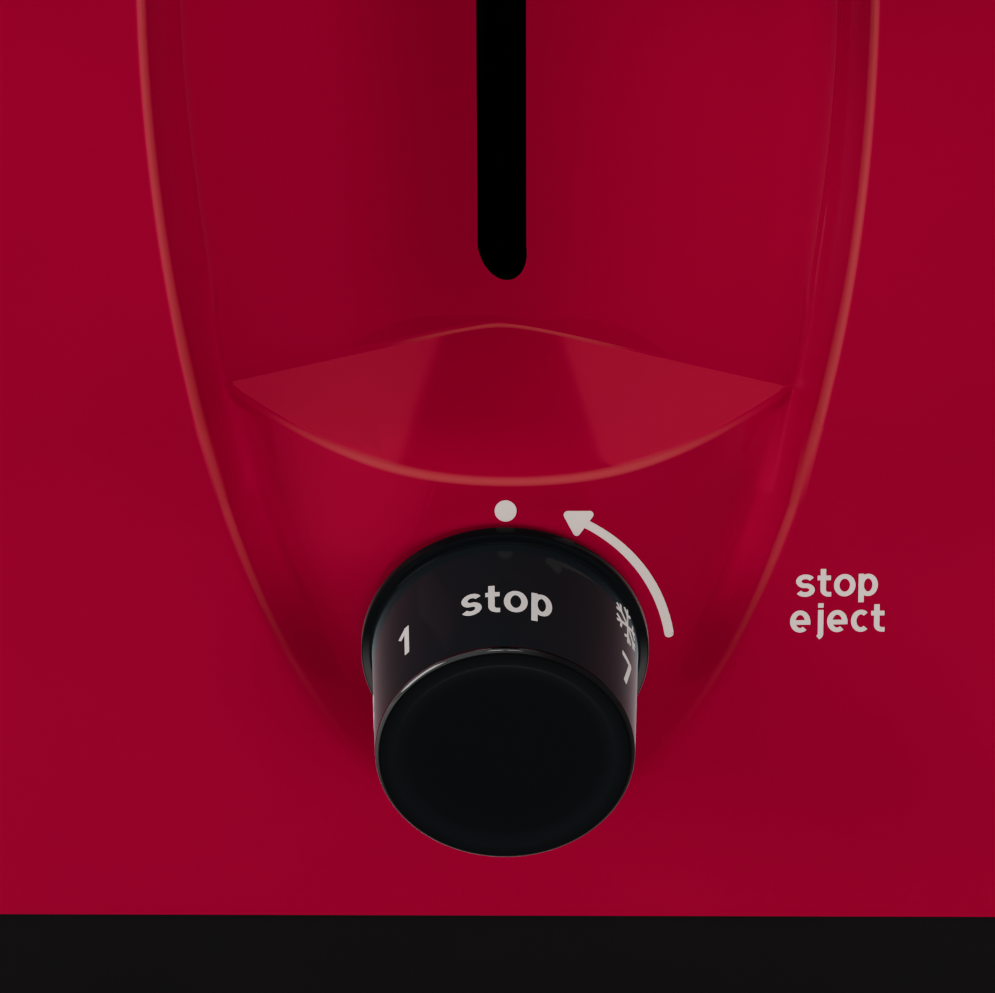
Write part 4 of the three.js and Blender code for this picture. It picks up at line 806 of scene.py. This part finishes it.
# The dished front: radius, and how far it is sunk
DISH = ((12.9, 0), (12.3, 0.01), (12.15, 0.03), (12, 0.1), (11.8, 0.2), (11.5, 0.27), (10.5, 0.36))
DISH += ((8, 0.45), (4, 0.5), (0, 0.52))


def knob_radius(along):
    """Radius of the knob's wall, which narrows evenly towards its front"""
    share = (along - KNOB_SKIRT) / (KNOB_LENGTH - KNOB_RIM - KNOB_SKIRT)
    return KNOB_WALL_RADIUS + (KNOB_FRONT_RADIUS - KNOB_WALL_RADIUS) * share


def knob_tone(x, y, h):
    """Painted light: all of the knob's paler tone on its wall, a little on the skirt and in a soft ring
    round the dish
    """
    along, radius = FRONT - y, hypot(x, h)
    if along < KNOB_SKIRT + 0.2:
        return 0.25
    if along < KNOB_LENGTH - KNOB_RIM + 0.01:
        return 1
    if radius < DISH_TONE_RADIUS:
        return 0.12 + 0.2 * smooth_step(10, 12, radius) * smooth_step(13.4, 12.2, radius)
    return 0


def knob_polish(x, y, h):
    """Painted highlight: coat on the lower half of the skirt's face, and most on the left of the front rim
    """
    along, radius = FRONT - y, hypot(x, h)
    if abs(along - KNOB_SKIRT) < 0.01 and radius > HIGHLIGHT_SKIRT_FROM:
        return smooth_step(3, -3, h)
    if along > KNOB_LENGTH - HIGHLIGHT_RIM_WIDTH and radius > HIGHLIGHT_RIM_FROM:
        return 0.1 + 0.9 * smooth_step(0.3, 0.9, cos(atan2(x, h) + HIGHLIGHT_RIM_TURN))
    return 0


def knob():
    """The knob, turned from a profile of its bore, hub, hollow, skirt, wall, rim and dish"""
    inwards, up = SKIRT_CHAMFER
    profile = [(0, KNOB_BORE_END), (KNOB_BORE, KNOB_BORE_END), (KNOB_BORE, KNOB_BACK), (KNOB_HUB, KNOB_BACK)]
    profile += [(KNOB_HUB, KNOB_HOLLOW_END), (KNOB_HOLLOW_RADIUS, KNOB_HOLLOW_END)]
    profile += [(KNOB_HOLLOW_MOUTH, KNOB_BACK)]
    profile += [(KNOB_SKIRT_RADIUS - inwards, KNOB_BACK), (KNOB_SKIRT_RADIUS, KNOB_BACK + up)]
    profile += [(r, KNOB_SKIRT + d) for r, d in SKIRT_FRONT]
    profile += [(knob_radius(along), along) for along in KNOB_WALL_ROWS]
    turns = [radians(d) for d in range(0, 91, 10)]
    face = KNOB_FRONT_RADIUS - KNOB_RIM
    profile += [(face + KNOB_RIM * cos(a), KNOB_LENGTH - KNOB_RIM * (1 - sin(a))) for a in turns]
    profile += [(r, KNOB_LENGTH - sunk) for r, sunk in DISH]
    mesh = turned(profile, steps=144, aim=(0, -1, 0), centre=(0, FRONT, KNOB_HEIGHT))
    painted(mesh, "knob_painted_light", knob_tone)
    painted(mesh, "coat_highlight", knob_polish)
    piece = piece_of(mesh, "turning_knob", finishes["gloss_black"], "knob")
    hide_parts("knob")


knob()

# Printed marks

PRINT = 0.04
PRINT_SUNK = 0.01
LAYER = 0.003
STROKE = 0.29
LONGEST_EDGE = 0.7
MARKS_RADIUS = 14.5
SAME_PLACE = 1e-4


def bow(x, y, across, up, start, end, pitch=15):
    """Points of a round stroke, so many degrees apart"""
    count = max(4, round(abs(end - start) / pitch))
    turns = [radians(start + (end - start) * i / count) for i in range(count + 1)]
    return [(x + across * cos(a), y + up * sin(a)) for a in turns]


# Each sign: its width, and the middle lines of its strokes, over the foot line
SIGNS = {
    "s": (2.16, [bow(1.1, 2.11, 0.75, 0.62, 28, 250) + bow(1.06, 0.94, 0.77, 0.61, 70, -152)]),
    "t": (1.5, [[(0.62, 3.73), (0.62, 0.95), *bow(1.2, 0.93, 0.58, 0.6, 190, 270), (1.5, 0.33)],
                [(0, 2.55), (1.45, 2.55)]]),
    "o": (2.44, [bow(1.22, 1.53, 0.89, 1.2, 0, 360)]),
    "p": (2.2, [[(0.33, -0.78), (0.33, 3.02)], bow(1.09, 1.53, 0.78, 1.2, 0, 360)]),
    "e": (2.3, [bow(1.15, 1.53, 0.82, 1.2, 0, 308), [(0.4, 1.4), (2.28, 1.4)]]),
    "j": (1.1, [[(0.77, 3.05), (0.77, 0), *bow(0.25, -0.2, 0.52, 0.52, 0, -65)],
                [(0.77, 3.4), (0.77, 3.95)]]),
    "c": (1.9, [bow(1.12, 1.53, 0.8, 1.2, 50, 310)]),
    "1": (1.6, [[(1.15, 0), (1.15, 4.3)], [(0.1, 3.1), (1.1, 4)]]),
    "2": (2.4, [bow(1.2, 3.02, 0.9, 0.95, 165, -40) + [(0.4, 0.5)], [(0.1, 0.33), (2.3, 0.33)]]),
    "3": (2.4, [bow(1.15, 3.15, 0.8, 0.83, 155, -75), bow(1.15, 1.35, 0.95, 1.02, 75, -155)]),
    "4": (2.5, [[(1.5, 4.3), (0.35, 1.25)], [(0.1, 1.15), (2.4, 1.15)], [(1.7, 2.5), (1.7, 0)]]),
    "5": (2.4, [[(2.15, 3.97), (0.4, 3.97)], [(0.68, 4.1), (0.6, 2.3)],
                bow(1.2, 1.45, 0.95, 1.12, 130, -150)]),
    "6": (2.4, [bow(1.2, 1.5, 0.88, 1.17, 0, 360), bow(2.25, 1.6, 1.93, 2.5, 105, 180)]),
    "7": (2.3, [[(0.1, 3.97), (2.25, 3.97)], [(2.08, 4.1), (0.85, 0)]]),
}


def flat_strokes(paths, half):
    """Flat ribbons along middle lines, each laid a little over the last"""
    line = bpy.data.curves.new("strokes", "CURVE")
    line.dimensions = "3D"
    line.twist_mode = "Z_UP"
    line.extrude = half
    for i, path in enumerate(paths):
        closed = (Vector(path[0]) - Vector(path[-1])).length < SAME_PLACE
        points = path[:-1] if closed else path
        spline = line.splines.new("POLY")
        spline.points.add(len(points) - 1)
        spline.use_cyclic_u = closed
        for point, (x, y) in zip(spline.points, points):
            point.co = (x, y, i * LAYER, 1)
            point.tilt = pi / 2
    bm = bmesh.new()
    bm.from_mesh(settled("strokes", line))
    bmesh.ops.remove_doubles(bm, verts=bm.verts, dist=SAME_PLACE)
    return bm


def written(word, wide=1.0, tall=1.0, apart=0.33, half=STROKE):
    """Strokes of a word, centred across, with its foot line at 0"""
    total = sum(SIGNS[sign][0] for sign in word) + apart * (len(word) - 1)
    at = -total / 2
    paths = []
    for sign in word:
        width, strokes = SIGNS[sign]
        paths += [[((at + x) * wide, y * tall) for x, y in stroke] for stroke in strokes]
        at += width + apart
    return flat_strokes(paths, half)


def printed(bm, name, body, laid):
    """Flat marks given a thin body and laid on a surface"""
    long_edges = [e for e in bm.edges if e.calc_length() > LONGEST_EDGE]
    bmesh.ops.subdivide_edges(bm, edges=long_edges, cuts=3, use_grid_fill=True)
    made = bmesh.ops.extrude_face_region(bm, geom=bm.faces[:])["geom"]
    bmesh.ops.translate(bm, verts=[v for v in made if isinstance(v, bmesh.types.BMVert)], vec=(0, 0, PRINT))
    for vert in bm.verts:
        vert.co = Vector(laid(*vert.co)) * MM
    bmesh.ops.recalc_face_normals(bm, faces=bm.faces)
    piece_of(mesh_of(bm), name, inks[body], body, 40)


def on_face(x, h, turn=0.0):
    """Lays marks on the end face, with their foot line's middle at a place"""
    def laid(across, up, lift):
        a = x + across * cos(turn) - up * sin(turn)
        b = h + across * sin(turn) + up * cos(turn)
        return a, FRONT + recess_depth(a, b) + PRINT_SUNK - lift, KNOB_HEIGHT + b

    return laid


def on_knob(turn, foot):
    """Lays marks on the knob's wall, at a turn from its top, their foot line so far from the end face"""
    def laid(across, up, lift):
        along = foot - up
        radius = knob_radius(along) - PRINT_SUNK + lift
        angle = turn + across / MARKS_RADIUS
        return radius * sin(angle), FRONT - along, KNOB_HEIGHT + radius * cos(angle)

    return laid


FIRST_NUMERAL = -49.5
NUMERALS_APART = 40.6

for number in range(1, 8):
    numeral = written(str(number), wide=1.1, tall=1.1, half=0.33)
    turn = radians(FIRST_NUMERAL - NUMERALS_APART * (number - 1))
    printed(numeral, f"numeral_{number}", "knob", on_knob(turn, foot=15.5))
stop = written("stop", wide=1.07, tall=1.28, apart=0.38, half=0.34)
printed(stop, "stop_mark", "knob", on_knob(turn=0.01, foot=14.5))
printed(written("stop", apart=0.28), "face_stop_mark", "body", on_face(x=36.75, h=6.4, turn=0.02))
printed(written("eject", apart=0.36), "face_eject_mark", "body", on_face(x=36.95, h=1.55, turn=0.02))


def frost_sign():
    """Six arms with a pair of twigs on each, as on the defrosting marks of toasters"""
    root, tip = 0.1, 2.85
    twig_root, twig_tip, twig_side = 1.75, 2.45, 0.8
    paths = []
    for arm in range(6):
        turn = radians(33 + 60 * arm)
        out, side = Vector((cos(turn), sin(turn))), Vector((-sin(turn), cos(turn)))
        paths.append([tuple(out * root), tuple(out * tip)])
        for hand in (-1, 1):
            paths.append([tuple(out * twig_root), tuple(out * twig_tip + side * hand * twig_side)])
    return flat_strokes(paths, half=0.16)


def dot():
    """A spot, drawn a little taller than wide"""
    bm = bmesh.new()
    bmesh.ops.create_circle(bm, cap_ends=True, segments=48, radius=1.19)
    bmesh.ops.scale(bm, vec=(1, 1.17, 1), verts=bm.verts)
    return bm


def arrow():
    """A bent stroke with a round foot, and a head with round corners at its other end"""
    half = 0.5
    bm = flat_strokes([bow(0.9, -5, 17.81, 23.03, 11.5, 63.5, pitch=3)], half)
    foot = bow(18.35, -0.38, half, half, 173, 353)
    head = bow(6.84, 16.9, 0.44, 0.5, 90, 208)
    head += bow(7.85, 14.55, 0.4, 0.48, 208, 325)
    head += bow(9.22, 16.8, 0.44, 0.5, -35, 90)
    for points in (head, foot):
        face = bm.faces.new([bm.verts.new((x, h, LAYER)) for x, h in points])
        bmesh.ops.poke(bm, faces=[face])
    bmesh.ops.recalc_face_normals(bm, faces=bm.faces)
    return bm


printed(frost_sign(), "frost_mark", "knob", on_knob(radians(66.4), foot=5.1))
printed(dot(), "dot_mark", "body", on_face(x=0, h=17.5))
printed(arrow(), "arrow_mark", "body", on_face(x=0, h=0))

# Pieces softened at their edges

SHARP = 38
FLAT = 0.5
WELD = 2e-6


def softened(node, width):
    """The same shape as a node's, with its sharp edges rounded"""
    bm = bmesh.new()
    bm.from_mesh(nodes[node].data)
    bmesh.ops.remove_doubles(bm, verts=bm.verts, dist=WELD)
    bmesh.ops.dissolve_limit(bm, angle_limit=radians(FLAT), verts=bm.verts, edges=bm.edges)
    slot = slot_of[node]
    piece = piece_of(mesh_of(bm), node + "_softened", finishes[slot], body_of[node], SHARP)
    edge = piece.modifiers.new("edges", "BEVEL")
    edge.width = width * MM
    edge.segments = 2
    edge.limit_method = "ANGLE"
    edge.angle_limit = radians(SHARP)
    edge.harden_normals = True
    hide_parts(node)


EDGE_WIDTHS = {
    "top_frame": 0.4,
    "base": 0.3,
    "lever_handle": 0.9,
    "tray_pull": 0.5,
    "cord_bush": 0.3,
    "terminal_block": 0.4,
    "timer": 0.4,
    "contact_block": 0.4,
    "carriage": 0.15,
    "crumb_tray": 0.2,
    **{f"foot_{i}": 0.5 for i in range(1, 5)},
}
for node, width in EDGE_WIDTHS.items():
    softened(node, width)

# Floor and light, in metres

FLOOR_HALF = 3
CONTROL_END = (0, -0.1, 0.09)
MIDDLE = (0, 0, 0.1)
LEDGE_BOX = (0.129, -0.77, 1.152)
LEDGE_BOX_AIM = Vector((0, 0.67, -0.934))
LEDGE_BOX_TURN = 18

bm = bmesh.new()
bmesh.ops.create_grid(bm, x_segments=8, y_segments=8, size=FLOOR_HALF)
floor_finish = Finish("pale_floor", Roughness=0.8, Specular_IOR_Level=0.2)
floor_cloud = floor_finish.noise(400, detail=2)
floor_finish.set("Base Color", floor_finish.mix(floor_cloud, (0.62, 0.61, 0.6), (0.66, 0.65, 0.64)))
floor = new_object("floor", mesh_of(bm))
floor.data.materials.append(floor_finish.material)

world = bpy.data.worlds.new("studio")
bpy.context.scene.world = world
world.use_nodes = True
world.node_tree.nodes["Background"].inputs["Color"].default_value = (1, 1, 1, 1)
world.node_tree.nodes["Background"].inputs["Strength"].default_value = 0.58


def lamp(name, place, target, size, radiance, turn=0.0, mirrored=True):
    """A soft box whose own brightness is so many times plain white"""
    data = bpy.data.lights.new(name, "AREA")
    data.shape = "RECTANGLE"
    data.size, data.size_y = size
    data.energy = radiance * pi * size[0] * size[1]
    box = bpy.data.objects.new(name, data)
    aim = (Vector(target) - Vector(place)).to_track_quat("-Z", "Y").to_matrix().to_4x4()
    box.matrix_world = Matrix.Translation(Vector(place)) @ aim @ Matrix.Rotation(turn, 4, "Z")
    box.visible_camera = False
    box.visible_glossy = mirrored
    bpy.context.scene.collection.objects.link(box)


lamp("left_box", (-1.5, -0.75, 0.75), CONTROL_END, (0.8, 1.0), 5.3)
lamp("front_box", (0.6, -1.7, 0.35), CONTROL_END, (1.4, 0.6), 4.3, mirrored=False)
for side in (-1, 1):
    x, y, z = LEDGE_BOX
    place = Vector((side * x, y, z))
    lamp("ledge_box", place, place + LEDGE_BOX_AIM, (0.22, 0.24), 3.7, radians(LEDGE_BOX_TURN * side))
lamp("top_box", (0.1, 0.5, 1.6), MIDDLE, (1.4, 1.2), 0.9)
